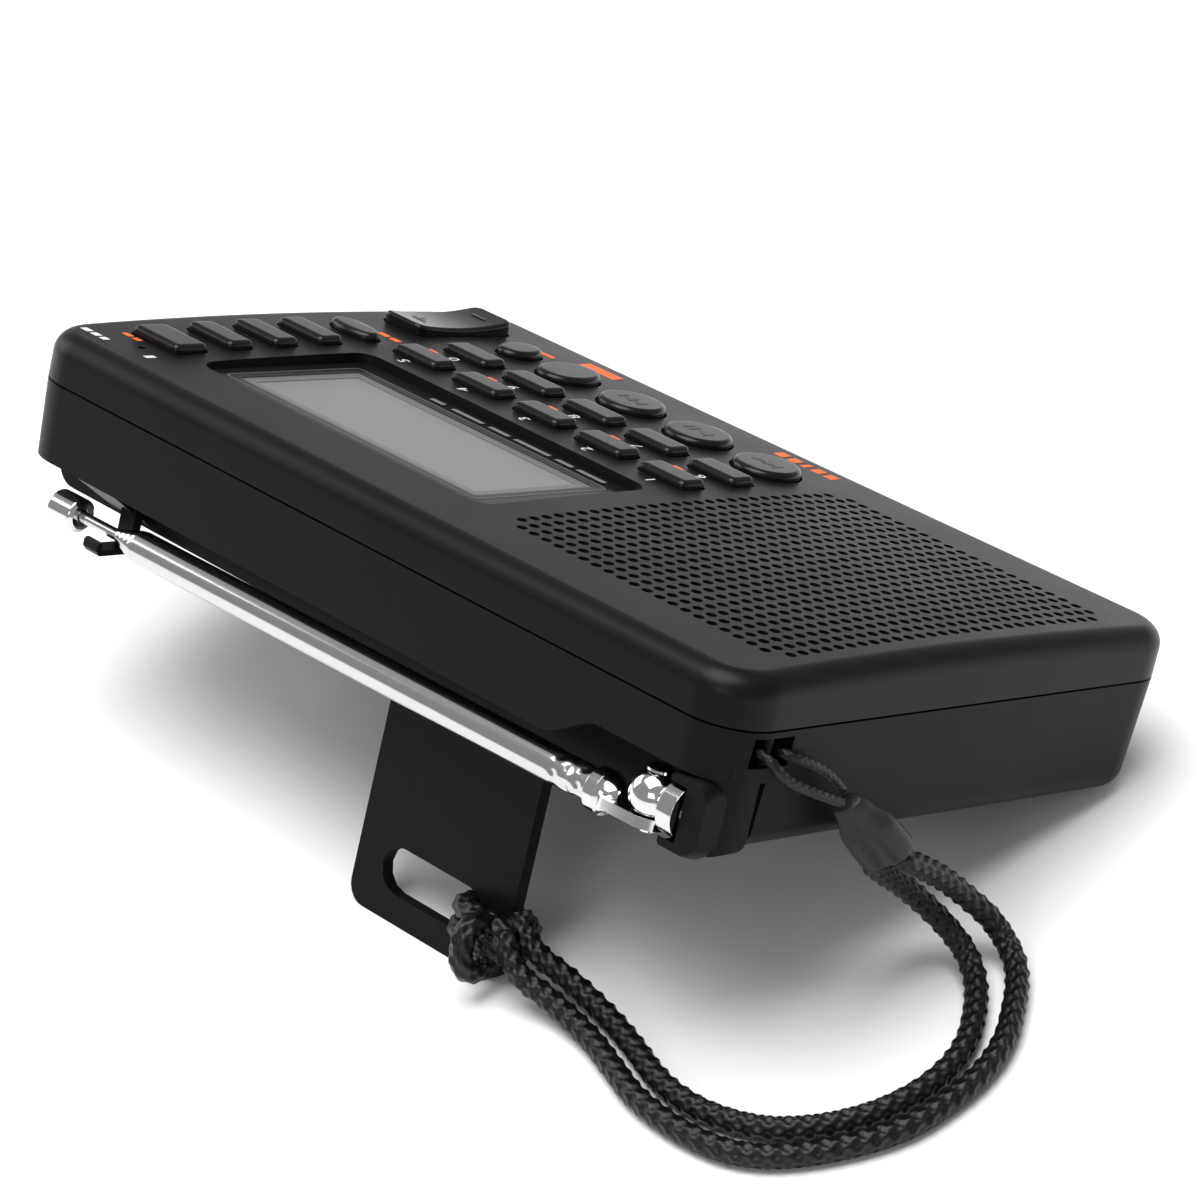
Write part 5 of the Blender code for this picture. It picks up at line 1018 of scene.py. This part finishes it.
LOOKS = {
    "case": surface("case_satin", (0.004, 0.004, 0.0045), 0.36, grain=0.20, grain_size=0.16, specular=0.15,
                    tint=0.10),
    "rear": surface("rear_satin", (0.0035, 0.0035, 0.004), 0.42, grain=0.22, grain_size=0.16, specular=0.11,
                    tint=0.10),
    "key": surface("key_satin", (0.0045, 0.0045, 0.005), 0.24, grain=0.08, grain_size=0.2, specular=0.24,
                   tint=0.1),
    "stand": surface("stand_matte", (0.0035, 0.0035, 0.004), 0.45, grain=0.28, grain_size=0.14,
                     specular=0.10, tint=0.1),
    "window": surface("window_clear", (0.02, 0.022, 0.024), 0.06, specular=0.5, alpha=0.14, vary=0.02),
    "border": surface("window_print", (0.004, 0.004, 0.0045), 0.3, specular=0.3, tint=0.1, vary=0.02),
    "line": surface("window_line", (0.10, 0.10, 0.10), 0.4, vary=0.03, tint=0.03),
    "lcd": surface("lcd_film", (0.215, 0.22, 0.213), 0.30, specular=0.4, tint=0.05, grain=0.05,
                   grain_size=0.3),
    "chrome": surface("chrome_plate", (0.66, 0.66, 0.67), 0.10, 1.0, grain=0.03, grain_size=0.8, vary=0.04,
                      stretch=(0.15, 1, 1)),
    "tube": surface("chrome_tube", (0.60, 0.60, 0.61), 0.14, 1.0, grain=0.04, grain_size=0.5, vary=0.05,
                    stretch=(0.05, 1, 1)),
    "steel": surface("steel_plain", (0.50, 0.50, 0.50), 0.35, 1.0, grain=0.1, tint=0.08),
    "board": surface("board_mask", (0.015, 0.12, 0.05), 0.45, tint=0.15, grain=0.1),
    "rubber": surface("silicone_mat", (0.28, 0.28, 0.28), 0.65, tint=0.05, grain=0.1),
    "cone": surface("cone_paper", (0.04, 0.04, 0.04), 0.85, tint=0.15, grain=0.4, grain_size=0.4),
    "ferrite": surface("ferrite_core", (0.03, 0.028, 0.03), 0.6, tint=0.1, grain=0.3),
    "copper": surface("copper_winding", (0.72, 0.33, 0.16), 0.35, 1.0, tint=0.1, grain=0.5, grain_size=0.4,
                      stretch=(1, 0.1, 0.1)),
    "battery": surface("battery_sleeve", (0.10, 0.12, 0.18), 0.35, tint=0.08, grain=0.05),
    "ferrule": surface("ferrule_rubber", (0.014, 0.0145, 0.016), 0.40, tint=0.1, grain=0.12,
                       grain_size=0.2, specular=0.3),
    "cord": surface("cord_braid", (0.003, 0.003, 0.0032), 0.30, tint=0.3, grain=0.7, grain_size=0.14,
                    specular=0.30),
    # Painted shade: a darker grey ring round the LCD stands in for the shadow that the window frame casts on
    # the display.
    "shade": surface("lcd_painted_frame_shadow", (0.15, 0.152, 0.15), 0.35, vary=0.03, tint=0.03),
    "white": surface("print_white", (0.62, 0.62, 0.62), 0.6, tint=0.04),
    "orange": surface("print_orange", (0.80, 0.13, 0.02), 0.55, tint=0.04),
    "grey": surface("print_grey", (0.16, 0.16, 0.16), 0.6, tint=0.04),
    "floor": surface("floor_pale", (0.86, 0.86, 0.865), 0.75, tint=0.01, specular=0.2),
}

SHOWN = {
    "lcd_module": "lcd", "speaker_frame": "steel", "speaker_magnet": "steel", "speaker_cone": "cone",
    "main_board": "board", "keymat": "rubber", "microphone": "steel", "ferrite_rod": "ferrite",
    "ferrite_coil": "copper", "battery": "battery", "battery_contacts": "steel", "earphone_jack": "rear",
    "usb_socket": "steel", "card_slot": "steel",
    **{f"housing_screw_{number}": "steel" for number in range(1, 5)},
}
for node_name, look_name in SHOWN.items():
    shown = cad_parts[node_name]
    shown.data.materials.clear()
    shown.data.materials.append(LOOKS[look_name])

# ---- case ----
piece("front_case", front_shell, [(front_additions, "UNION"), (front_cuts, "DIFFERENCE")], CASE_FRAME,
      "case", "root", ["front_housing"])
REAR_STEPS = [(channel_wall, "UNION", wall_limit)]
REAR_STEPS += [(step, "UNION")
               for step in (rear_stand_wall, rear_battery_wall, rear_small_additions, rear_pocket_wall)]
REAR_STEPS += [(step, "DIFFERENCE")
               for step in (rear_cuts, stand_recess, hinge_holes, cover_recess, battery_opening,
                                                 rear_small_cuts, lanyard_pocket)]
REAR_STEPS += [(antenna_boss_block, "UNION", boss_limit)]
REAR_STEPS += [(step, "UNION") for step in (lanyard_post, antenna_boss, antenna_gusset, antenna_clip)]
REAR_STEPS += [(boss_trim, "DIFFERENCE"), (swivel_bore, "DIFFERENCE")]
piece("rear_case", rear_shell, REAR_STEPS, CASE_FRAME, "rear", "root", ["rear_housing"])
piece("cover", lambda mesh: skin(mesh, rear_outer_rings()), [(cover_outline, "INTERSECT")], CASE_FRAME,
      "rear", "cover", ["battery_cover"])


# ---- display ----
LCD_RECT = (LENS_RECT[0] + 4.9 * MM, LENS_RECT[1] - 3.2 * MM, LENS_RECT[2] + 4.2 * MM,
            LENS_RECT[3] - 3.8 * MM)


def slab(rect, radius, low, high):
    """A flat rounded plate between two levels."""
    return lambda mesh: skin(mesh, [box_ring(rect, radius, level(low)), box_ring(rect, radius, level(high))])


def flat_ring(outer, inner, z_low, z_high, outer_radius, inner_radius):
    def build(mesh):
        rings = [box_ring(outer, outer_radius, level(z_low)), box_ring(outer, outer_radius, level(z_high)),
                 box_ring(inner, inner_radius, level(z_high)), box_ring(inner, inner_radius, level(z_low))]
        skin(mesh, rings, closed=True)
    return build


LENS_FACE = -LENS_DEPTH
piece("window", slab(LENS_RECT, LENS_CORNER - 0.2 * MM, -LENS_DEPTH - LENS_THICKNESS, -LENS_DEPTH), [],
      CASE_FRAME, "window", "root", ["display_lens"])
piece("window_border",
      flat_ring(grown(LENS_RECT, -0.1 * MM), LCD_RECT, LENS_FACE - 0.22 * MM, LENS_FACE - 0.10 * MM,
                                 LENS_CORNER - 0.4 * MM, 0.5 * MM), [], CASE_FRAME, "border", "root")
piece("window_outline",
      flat_ring(grown(LCD_RECT, 1.30 * MM), grown(LCD_RECT, 1.05 * MM), LENS_FACE - 0.09 * MM,
                                  LENS_FACE - 0.06 * MM, 0.8 * MM, 0.7 * MM), [], CASE_FRAME, "line", "root")
# Painted shadow: a darker grey band round the inside of the LCD's edge, standing in for the window frame's
# shadow.
piece("window_painted_shadow", flat_ring(grown(LCD_RECT, 0.1 * MM), grown(LCD_RECT, -1.5 * MM), LENS_FACE - 0.34 * MM,
                                LENS_FACE - 0.26 * MM, 0.6 * MM, 0.4 * MM), [], CASE_FRAME, "shade", "root")
piece("window_film",
      slab(grown(LCD_RECT, 0.2 * MM), 0.6 * MM, LENS_FACE - 0.52 * MM, LENS_FACE - 0.36 * MM), [],
      CASE_FRAME, "lcd", "root")


# ---- keys ----
def fine_key(rect, oval):
    def build(mesh):
        face = middle_face(rect)
        flange_top = face - FACE_WALL - 0.4 * MM
        rings = [key_ring(rect, oval, level(flange_top - KEY_FLANGE_THICKNESS), KEY_FLANGE),
                 key_ring(rect, oval, level(flange_top), KEY_FLANGE), key_ring(rect, oval, level(flange_top))]
        rings += [key_ring(rect, oval, level(face + KEY_RISE - drop), -inset)
                  for inset, drop in fillet(KEY_FILLET, 15)]
        skin(mesh, rings)
    return build


def fine_rocker(mesh):
    face = middle_face(ROCKER_RECT)
    middle = (ROCKER_RECT[2] + ROCKER_RECT[3]) / 2
    flange_top = face - FACE_WALL - 0.7 * MM

    def top(drop):
        def height_at(y):
            away = (y - middle) / (ROCKER[1] / 2)
            return face + ROCKER_RISE - drop - ROCKER_SAG * (1 - min(1, away * away))
        return height_at

    def ring(height_at, out=0.0):
        return box_ring(grown(ROCKER_RECT, out), 1.4 * MM + out, height_at, 6, 24)
    rings = [ring(level(flange_top - KEY_FLANGE_THICKNESS), KEY_FLANGE), ring(level(flange_top), KEY_FLANGE),
             ring(level(flange_top))]
    rings += [ring(top(drop), -inset) for inset, drop in fillet(ROCKER_FILLET, 15)]
    skin(mesh, rings)


def text_data(words, height):
    curve = bpy.data.curves.new("mark", "FONT")
    curve.body = words
    curve.size = height / 0.7
    curve.extrude = 0.012 * MM
    curve.align_x = "CENTER"
    curve.resolution_u = 3
    holder = linked("mark", curve)
    bpy.context.view_layer.update()
    data = bpy.data.meshes.new_from_object(holder.evaluated_get(bpy.context.evaluated_depsgraph_get()))
    bpy.data.objects.remove(holder, do_unlink=True)
    return data


def mark_text(name, words, height, x, y, z, look, body):
    data = text_data(words, height)
    data.transform(Matrix.Translation((x, y - height / 2, z + 0.02 * MM)))
    return finished(name, data, CASE_FRAME, look, body)


def mark_shape(name, outlines, z, look, body):
    def build(mesh):
        for points in outlines:
            prism(mesh, points, "z", z + 0.005 * MM, z + 0.035 * MM)
    return finished(name, raw_data(build), CASE_FRAME, look, body)


def raw_data(build):
    made = raw("shape", build)
    data = made.data.copy()
    bpy.data.objects.remove(made, do_unlink=True)
    return data


def centre_of(rect):
    return (rect[0] + rect[1]) / 2, (rect[2] + rect[3]) / 2


def triangle(x, y, size, way):
    return [(x + way * size * 0.6, y), (x - way * size * 0.5, y + size * 0.62),
            (x - way * size * 0.5, y - size * 0.62)]


def bar(x, y, width, height):
    return [(x + width / 2, y - height / 2), (x + width / 2, y + height / 2), (x - width / 2, y + height / 2),
            (x - width / 2, y - height / 2)]


for key_name, key_rect, key_oval in key_table():
    piece(key_name + "_cap", fine_key(key_rect, key_oval), [], CASE_FRAME, "key", key_name, [key_name])
    key_x, key_y = centre_of(key_rect)
    if key_name.startswith("key_number_"):
        mark_y = key_rect[3] + 1.55 * MM
        mark_text(key_name + "_digit", key_name[-1], 1.7 * MM, key_x, mark_y, face_z(mark_y), "white", "root")
    if key_name.startswith("key_transport_"):
        top_z = middle_face(key_rect) + KEY_RISE
        kind = key_name[-1]
        small = 1.5 * MM
        if kind == "2":
            shapes = [triangle(key_x - 1.0 * MM, key_y, small, 1),
                      bar(key_x + 0.8 * MM, key_y, 0.45 * MM, 1.9 * MM),
                      bar(key_x + 1.8 * MM, key_y, 0.45 * MM, 1.9 * MM)]
        else:
            way = 1 if kind == "1" else -1
            shapes = [triangle(key_x - way * 1.2 * MM, key_y, small, way),
                      triangle(key_x + way * 0.5 * MM, key_y, small, way),
                      bar(key_x + way * 1.7 * MM, key_y, 0.4 * MM, 1.9 * MM)]
        mark_shape(key_name + "_symbol", shapes, top_z, "border", key_name)

piece("rocker_cap", fine_rocker, [], CASE_FRAME, "key", "key_rocker", ["key_rocker"])
rocker_x, rocker_y = centre_of(ROCKER_RECT)
for end, outlines in ((1,
                       lambda y: [bar(rocker_x, y, 2.4 * MM, 0.5 * MM),
                                  bar(rocker_x, y + 0.725 * MM, 0.5 * MM, 0.95 * MM),
                                     bar(rocker_x, y - 0.725 * MM, 0.5 * MM, 0.95 * MM)]),
                      (-1, lambda y: [bar(rocker_x, y, 2.4 * MM, 0.5 * MM)])):
    mark_y = rocker_y + end * (ROCKER[1] / 2 - 3.2 * MM)
    share = (mark_y - rocker_y) / (ROCKER[1] / 2)
    height = middle_face(ROCKER_RECT) + ROCKER_RISE - ROCKER_SAG * (1 - share * share) + 0.05 * MM
    mark_shape("rocker_mark_plus" if end > 0 else "rocker_mark_minus", outlines(mark_y), height, "border",
               "key_rocker")

# Plain dashes stand where the case carries printed words.
def dashes(name, y, runs, height, look, z=None):
    """A row of dashes at y: runs are (centre x, length) in mm."""
    outlines = [bar(x * MM, y * MM, length * MM, height * MM) for x, length in runs]
    mark_shape(name, outlines, face_z(y * MM) if z is None else z, look, "root")


dashes("mark_block", 5.8, ((93.4, 6.2),), 2.6, "orange")
dashes("mark_row", 5.2, ((53.0, 1.5), (55.2, 1.5), (57.2, 0.8), (59.2, 1.5), (61.4, 1.5)), 2.0, "orange")
dashes("mark_small_oval", 9.3, ((100.4, 3.4),), 0.9, "orange")
dashes("mark_side_oval", 31.0, ((106.4, 1.6), (108.6, 1.8)), 1.0, "orange")
dashes("mark_wide_key", 70.2, ((111.4, 1.2), (113.2, 1.4)), 0.9, "orange")
for column in range(5):
    dashes(f"mark_number_{column}", 28.55, ((58.1 + 10.95 * column, 1.6),), 0.8, "orange")
dashes("mark_corner", 74.4, ((112.6, 1.0), (114.2, 1.2), (116.0, 1.4)), 1.1, "white")
dashes("mark_window", 41.55, ((60.0, 4.6), (64.6, 2.8), (70.2, 6.0), (76.0, 3.4), (81.6, 5.4), (87.0, 2.4)),
       0.8,
       "grey", LENS_FACE + 0.01 * MM)
mark_shape("mark_microphone",
           [bar(105.4 * MM, 73.2 * MM, 0.8 * MM, 1.6 * MM), bar(105.4 * MM, 71.8 * MM, 1.9 * MM, 0.3 * MM)],
           face_z(73 * MM), "white", "root")


# ---- antenna ----
def crimped_tube(mesh):
    """Outer tube: dimpled where it is crimped on the knuckle, plain beyond."""
    start, mouth, sides = TUBE_START, OUTER_MOUTH, 60
    inner = TUBE_RADIUS - TUBE_WALL
    places = [start + 0.12 * MM * step for step in range(60)] + [start + 9 * MM, mouth - 0.8 * MM]
    rings = []
    for x in places:
        ring = []
        for side in range(sides):
            angle = 2 * math.pi * side / sides
            radius = TUBE_RADIUS
            for row in range(3):
                for dimple in range(6):
                    turn = angle - math.pi * (dimple + 0.5 * (row % 2)) / 3
                    away = (turn + math.pi) % (2 * math.pi) - math.pi
                    distance = math.hypot(away * TUBE_RADIUS, x - start - (1.1 + 1.9 * row) * MM)
                    radius -= 0.20 * MM * math.exp(-((distance / (0.62 * MM)) ** 2))
            ring.append(Vector((x, radius * math.cos(angle), radius * math.sin(angle))))
        rings.append(ring)
    for x, radius in ((mouth, TUBE_RADIUS - 0.14 * MM), (mouth, inner - 0.05 * MM),
                      (mouth - 1 * MM, inner - 0.05 * MM),
                      (start + 9 * MM, inner), (start, inner - 0.22 * MM)):
        rings.append([Vector((x, radius * math.cos(2 * math.pi * side / sides),
                              radius * math.sin(2 * math.pi * side / sides)))
                      for side in range(sides)])
    skin(mesh, rings, closed=True)


piece("swivel", swivel_body, [(swivel_flats, "DIFFERENCE"), (swivel_hole, "DIFFERENCE")], CASE_FRAME,
      "chrome",
      "swivel", ["antenna_swivel"], bevel=0.12 * MM)


piece("pivot_screw", antenna_screw, [], CASE_FRAME, "chrome", "swivel", ["antenna_screw"])
piece("knuckle", antenna_knuckle, [(knuckle_collar, "UNION"), (knuckle_hole, "DIFFERENCE")], ANTENNA_FRAME,
      "chrome", "arm", ["antenna_knuckle"], bevel=0.15 * MM)
piece("tube_1", crimped_tube, [], ANTENNA_FRAME, "tube", "arm", ["antenna_tube_1"])
for tube_number in (1, 2, 3):
    piece(f"tube_{tube_number + 1}", tube_body(tube_number), [], ANTENNA_FRAME, "tube",
          f"tube_{tube_number + 1}",
          [f"antenna_tube_{tube_number + 1}"])
piece("rod_thin", antenna_rod, [], ANTENNA_FRAME, "tube", "rod", ["antenna_rod"])
piece("tip", antenna_tip, [(tip_socket, "DIFFERENCE")], ANTENNA_FRAME, "chrome", "rod", ["antenna_tip"],
      bevel=0.1 * MM)

# ---- stand ----
piece("stand_plate", stand_body,
      [(stand_barrel, "UNION"), (stand_slot, "DIFFERENCE"), (stand_foot_cut, "DIFFERENCE")],
      CASE_FRAME, "stand", "stand", ["kickstand"], bevel=0.22 * MM)


# ---- strap ----
def braid(places, radius, sides, columns, pitch, depth, closed=False):
    """Tube along places whose skin carries the staggered bumps of a braid; returns a mesh."""
    mesh = bmesh.new()
    count = len(places)
    lengths = [0.0]
    for a, b in zip(places, places[1:]):
        lengths.append(lengths[-1] + (b - a).length)
    if closed:
        total = lengths[-1] + (places[0] - places[-1]).length
        pitch = total / round(total / pitch)
    side = None
    rings = []
    for number, place in enumerate(places):
        if closed:
            ahead, behind = places[(number + 1) % count], places[number - 1]
        else:
            ahead, behind = places[min(number + 1, count - 1)], places[max(number - 1, 0)]
        along = (ahead - behind).normalized()
        if side is None:
            side = along.cross(Vector((0.2, 0.3, 1))).normalized()
        side = (side - along * side.dot(along)).normalized()
        up = along.cross(side)
        ring = []
        for step in range(sides):
            angle = 2 * math.pi * step / sides
            wave = math.cos(columns * angle) * math.cos(2 * math.pi * lengths[number] / pitch)
            reach = radius * (1 - depth + depth * wave)
            ring.append(mesh.verts.new(place + side * (math.cos(angle) * reach) + up
                                       * (math.sin(angle) * reach)))
        rings.append(ring)
    pairs = list(zip(rings, rings[1:]))
    if closed:
        first, last = rings[0], rings[-1]
        nearest = min(range(sides), key=lambda shift: (last[0].co - first[shift].co).length)
        pairs.append((last, first[nearest:] + first[:nearest]))
    for low, high in pairs:
        bridge(mesh, low, high)
    if not closed:
        mesh.faces.new(rings[0][::-1])
        mesh.faces.new(rings[-1])
    bmesh.ops.recalc_face_normals(mesh, faces=mesh.faces)
    data = bpy.data.meshes.new("braid")
    mesh.to_mesh(data)
    mesh.free()
    return data


# The thick cord's braid: sides of the tube, bumps round it, length of a bump pair, depth.
THICK_BRAID = (40, 5, 2.1 * MM, 0.13)
THIN_BRAID = (20, 4, 1.1 * MM, 0.10)


def strand(name, points, diameter, node_name, weave=THICK_BRAID, step=0.22 * MM):
    places = [TABLE_FRAME @ place for place in smooth_route(points, step)]
    data = braid(places, diameter / 2, *weave)
    data.shade_smooth()
    data.materials.append(LOOKS["cord"])
    made = linked(name, data)
    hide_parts(node_name)
    length = sum((b - a).length for a, b in zip(places, places[1:]))
    return made, places, length


# Each strand runs on at both ends, into the sleeve and into the hitch.
OUTER_RUN = ((-5.5, 56.9, 20.6),) + OUTER_STRAND + ((28.6, 85.3, 6.2), (30.4, 84.2, 8.2))
INNER_RUN = ((-3.3, 58.7, 20.1),) + INNER_STRAND + ((29.2, 82.1, 7.0), (31.0, 81.0, 8.8))
for strand_name, strand_points, strand_node in (("strand_outer", OUTER_RUN, "strap_outer"),
                                                ("strand_inner", INNER_RUN, "strap_inner")):
    made, places, length = strand(strand_name, strand_points, CORD_DIAMETER, strand_node)
    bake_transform(made)
    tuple(places[0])

made, places, length = strand("thin_loop", THIN_LOOP, THIN_CORD_DIAMETER, "strap_loop", THIN_BRAID, 0.14 * MM)
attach(made, "root")
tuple(places[0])


def fine_ferrule(mesh):
    """Soft sleeve, oval and waisted, with a shallow groove between its two halves."""
    top, bottom = Vector(FERRULE_TOP) * MM, Vector(FERRULE_BOTTOM) * MM
    down = (bottom - top).normalized()
    wide = Vector((0.73, 0.68, 0.0))
    wide = (wide - down * wide.dot(down)).normalized()
    thick = down.cross(wide)
    length = (bottom - top).length
    rings = []
    for share, scale in ((0.0, 0.42), (0.015, 0.50), (0.05, 0.56), (0.15, 0.61), (0.28, 0.70), (0.40, 0.86),
                         (0.48, 0.94),
                         (0.6, 0.97), (0.8, 0.99), (0.94, 1.0), (0.985, 0.97), (1.0, 0.90)):
        ring = []
        groove = 0.16 * min(1, max(0, (share - 0.3) / 0.2))
        for step in range(64):
            angle = 2 * math.pi * (step + 0.5) / 64
            waist = 1 - groove * math.exp(-((math.cos(angle) / 0.28) ** 2))
            ring.append(top + down * length * share + wide * math.cos(angle) * scale * FERRULE_WIDTH / 2
                        + thick * math.sin(angle) * scale * waist * FERRULE_THICKNESS / 2)
        rings.append(ring)
    skin(mesh, rings)


piece("ferrule", fine_ferrule, [], TABLE_FRAME, "ferrule", "root", ["strap_ferrule"])


# The hitch: two turns round the strip beside the slot, and a band across them.
def loop_points(centre, first, second, width, height, count=120, lean=0.0):
    """Closed rounded loop about centre in the plane of first and second."""
    normal = first.cross(second)
    rough = []
    for step in range(count * 6):
        angle = 2 * math.pi * step / (count * 6)
        c, s = math.cos(angle), math.sin(angle)
        rough.append(centre + first * math.copysign(abs(c) ** 0.8, c) * width / 2
                     + second * math.copysign(abs(s) ** 0.8, s) * height / 2 + normal * s * lean)
    total = sum((rough[number] - rough[number - 1]).length for number in range(len(rough)))
    found, walked = [], 0.0
    for number, place in enumerate(rough):
        if walked >= len(found) * total / count and len(found) < count:
            found.append(CASE_FRAME @ place)
        walked += (rough[(number + 1) % len(rough)] - place).length
    return found


ALONG_X, ALONG_Y, ALONG_Z = Vector((1, 0, 0)), Vector((0, 1, 0)), Vector((0, 0, 1))
STRIP_X = (STAND_LEFT + STAND_HINGE.x - STAND_SLOT_LENGTH / 2) / 2 + 0.4 * MM
HITCH = (
    ("hitch_turn_1", Vector((STRIP_X, STAND_MIDDLE_Y + 0.3 * MM, SLOT_MIDDLE_Z + 1.0 * MM)), ALONG_X,
     ALONG_Y, 8.6 * MM,
     5.6 * MM, 0.3 * MM),
    ("hitch_turn_2", Vector((STRIP_X, STAND_MIDDLE_Y + 0.3 * MM, SLOT_MIDDLE_Z - 1.4 * MM)), ALONG_X,
     ALONG_Y, 8.6 * MM,
     5.6 * MM, -0.3 * MM),
    ("hitch_band", Vector((STAND_LEFT + 0.6 * MM, STAND_FACE_Y + 4.2 * MM, SLOT_MIDDLE_Z - 1.2 * MM)),
     ALONG_Y, ALONG_Z,
     4.6 * MM, 5.6 * MM, 0.5 * MM),
)
for hitch_name, centre, first, second, width, height, lean in HITCH:
    places = loop_points(centre, first, second, width, height, lean=lean)
    data = braid(places, CORD_DIAMETER / 2, *THICK_BRAID, closed=True)
    data.shade_smooth()
    data.materials.append(LOOKS["cord"])
    made = linked(hitch_name, data)
    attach(made, "stand")
    if hitch_name == "hitch_turn_1":
        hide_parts("strap_knot")

# ---- room, light and camera ----
bpy.ops.mesh.primitive_plane_add(size=6, location=(0, 0, 0))
floor = bpy.context.object
floor.name = "floor"
floor.data.materials.append(LOOKS["floor"])

SKY_SEEN, SKY_LIGHT = 1.0, 0.36  # the backdrop's strength as seen, and as a light
world = bpy.data.worlds.new("studio")
bpy.context.scene.world = world
world.use_nodes = True
backdrop = world.node_tree.nodes["Background"]
backdrop.inputs["Color"].default_value = (1, 1, 1, 1)
rays = world.node_tree.nodes.new("ShaderNodeLightPath")
level_of_light = world.node_tree.nodes.new("ShaderNodeMapRange")
level_of_light.inputs["To Min"].default_value = SKY_LIGHT
level_of_light.inputs["To Max"].default_value = SKY_SEEN
world.node_tree.links.new(rays.outputs["Is Camera Ray"], level_of_light.inputs["Value"])
world.node_tree.links.new(level_of_light.outputs["Result"], backdrop.inputs["Strength"])


def softbox(name, location, target, size, power):
    light = bpy.data.lights.new(name, "AREA")
    light.shape = "RECTANGLE"
    light.size, light.size_y = size
    light.energy = power
    made = linked(name, light)
    made.location = location
    made.rotation_euler = (Vector(target) - Vector(location)).to_track_quat("-Z", "Y").to_euler()


softbox("overhead", (0.05, 0.10, 0.95), (0, 0, 0.02), (0.8, 0.8), 13)
softbox("left_low", (0.75, 0.15, 0.35), (0, 0, 0.03), (0.5, 0.5), 2)
softbox("front", (-0.35, 0.75, 0.45), (0, 0.02, 0.02), (0.3, 0.3), 1.0)

CAMERA_RIGHT = Vector((-0.699449, -0.680668, 0.217857))
CAMERA_PLACE = Vector((-279.318, 434.494, 141.862)) * MM
CAMERA_FORWARD = Vector((0.619208, -0.729380, -0.290838))
CAMERA_LENS = 135.28
camera_data = bpy.data.cameras.new("camera")
camera_data.sensor_width = 36
camera_data.lens = CAMERA_LENS
camera = linked("camera", camera_data)
forward = (CAMERA_FORWARD - CAMERA_RIGHT * CAMERA_FORWARD.dot(CAMERA_RIGHT)).normalized()
up = CAMERA_RIGHT.cross(forward)
rotation = Matrix((CAMERA_RIGHT, up, -forward)).transposed()
camera.matrix_world = CASE_FRAME @ Matrix.Translation(CAMERA_PLACE) @ rotation.to_4x4()
camera_data.clip_start, camera_data.clip_end = 0.01, 50
bpy.context.scene.camera = camera
bpy.context.scene.view_settings.view_transform = "Standard"
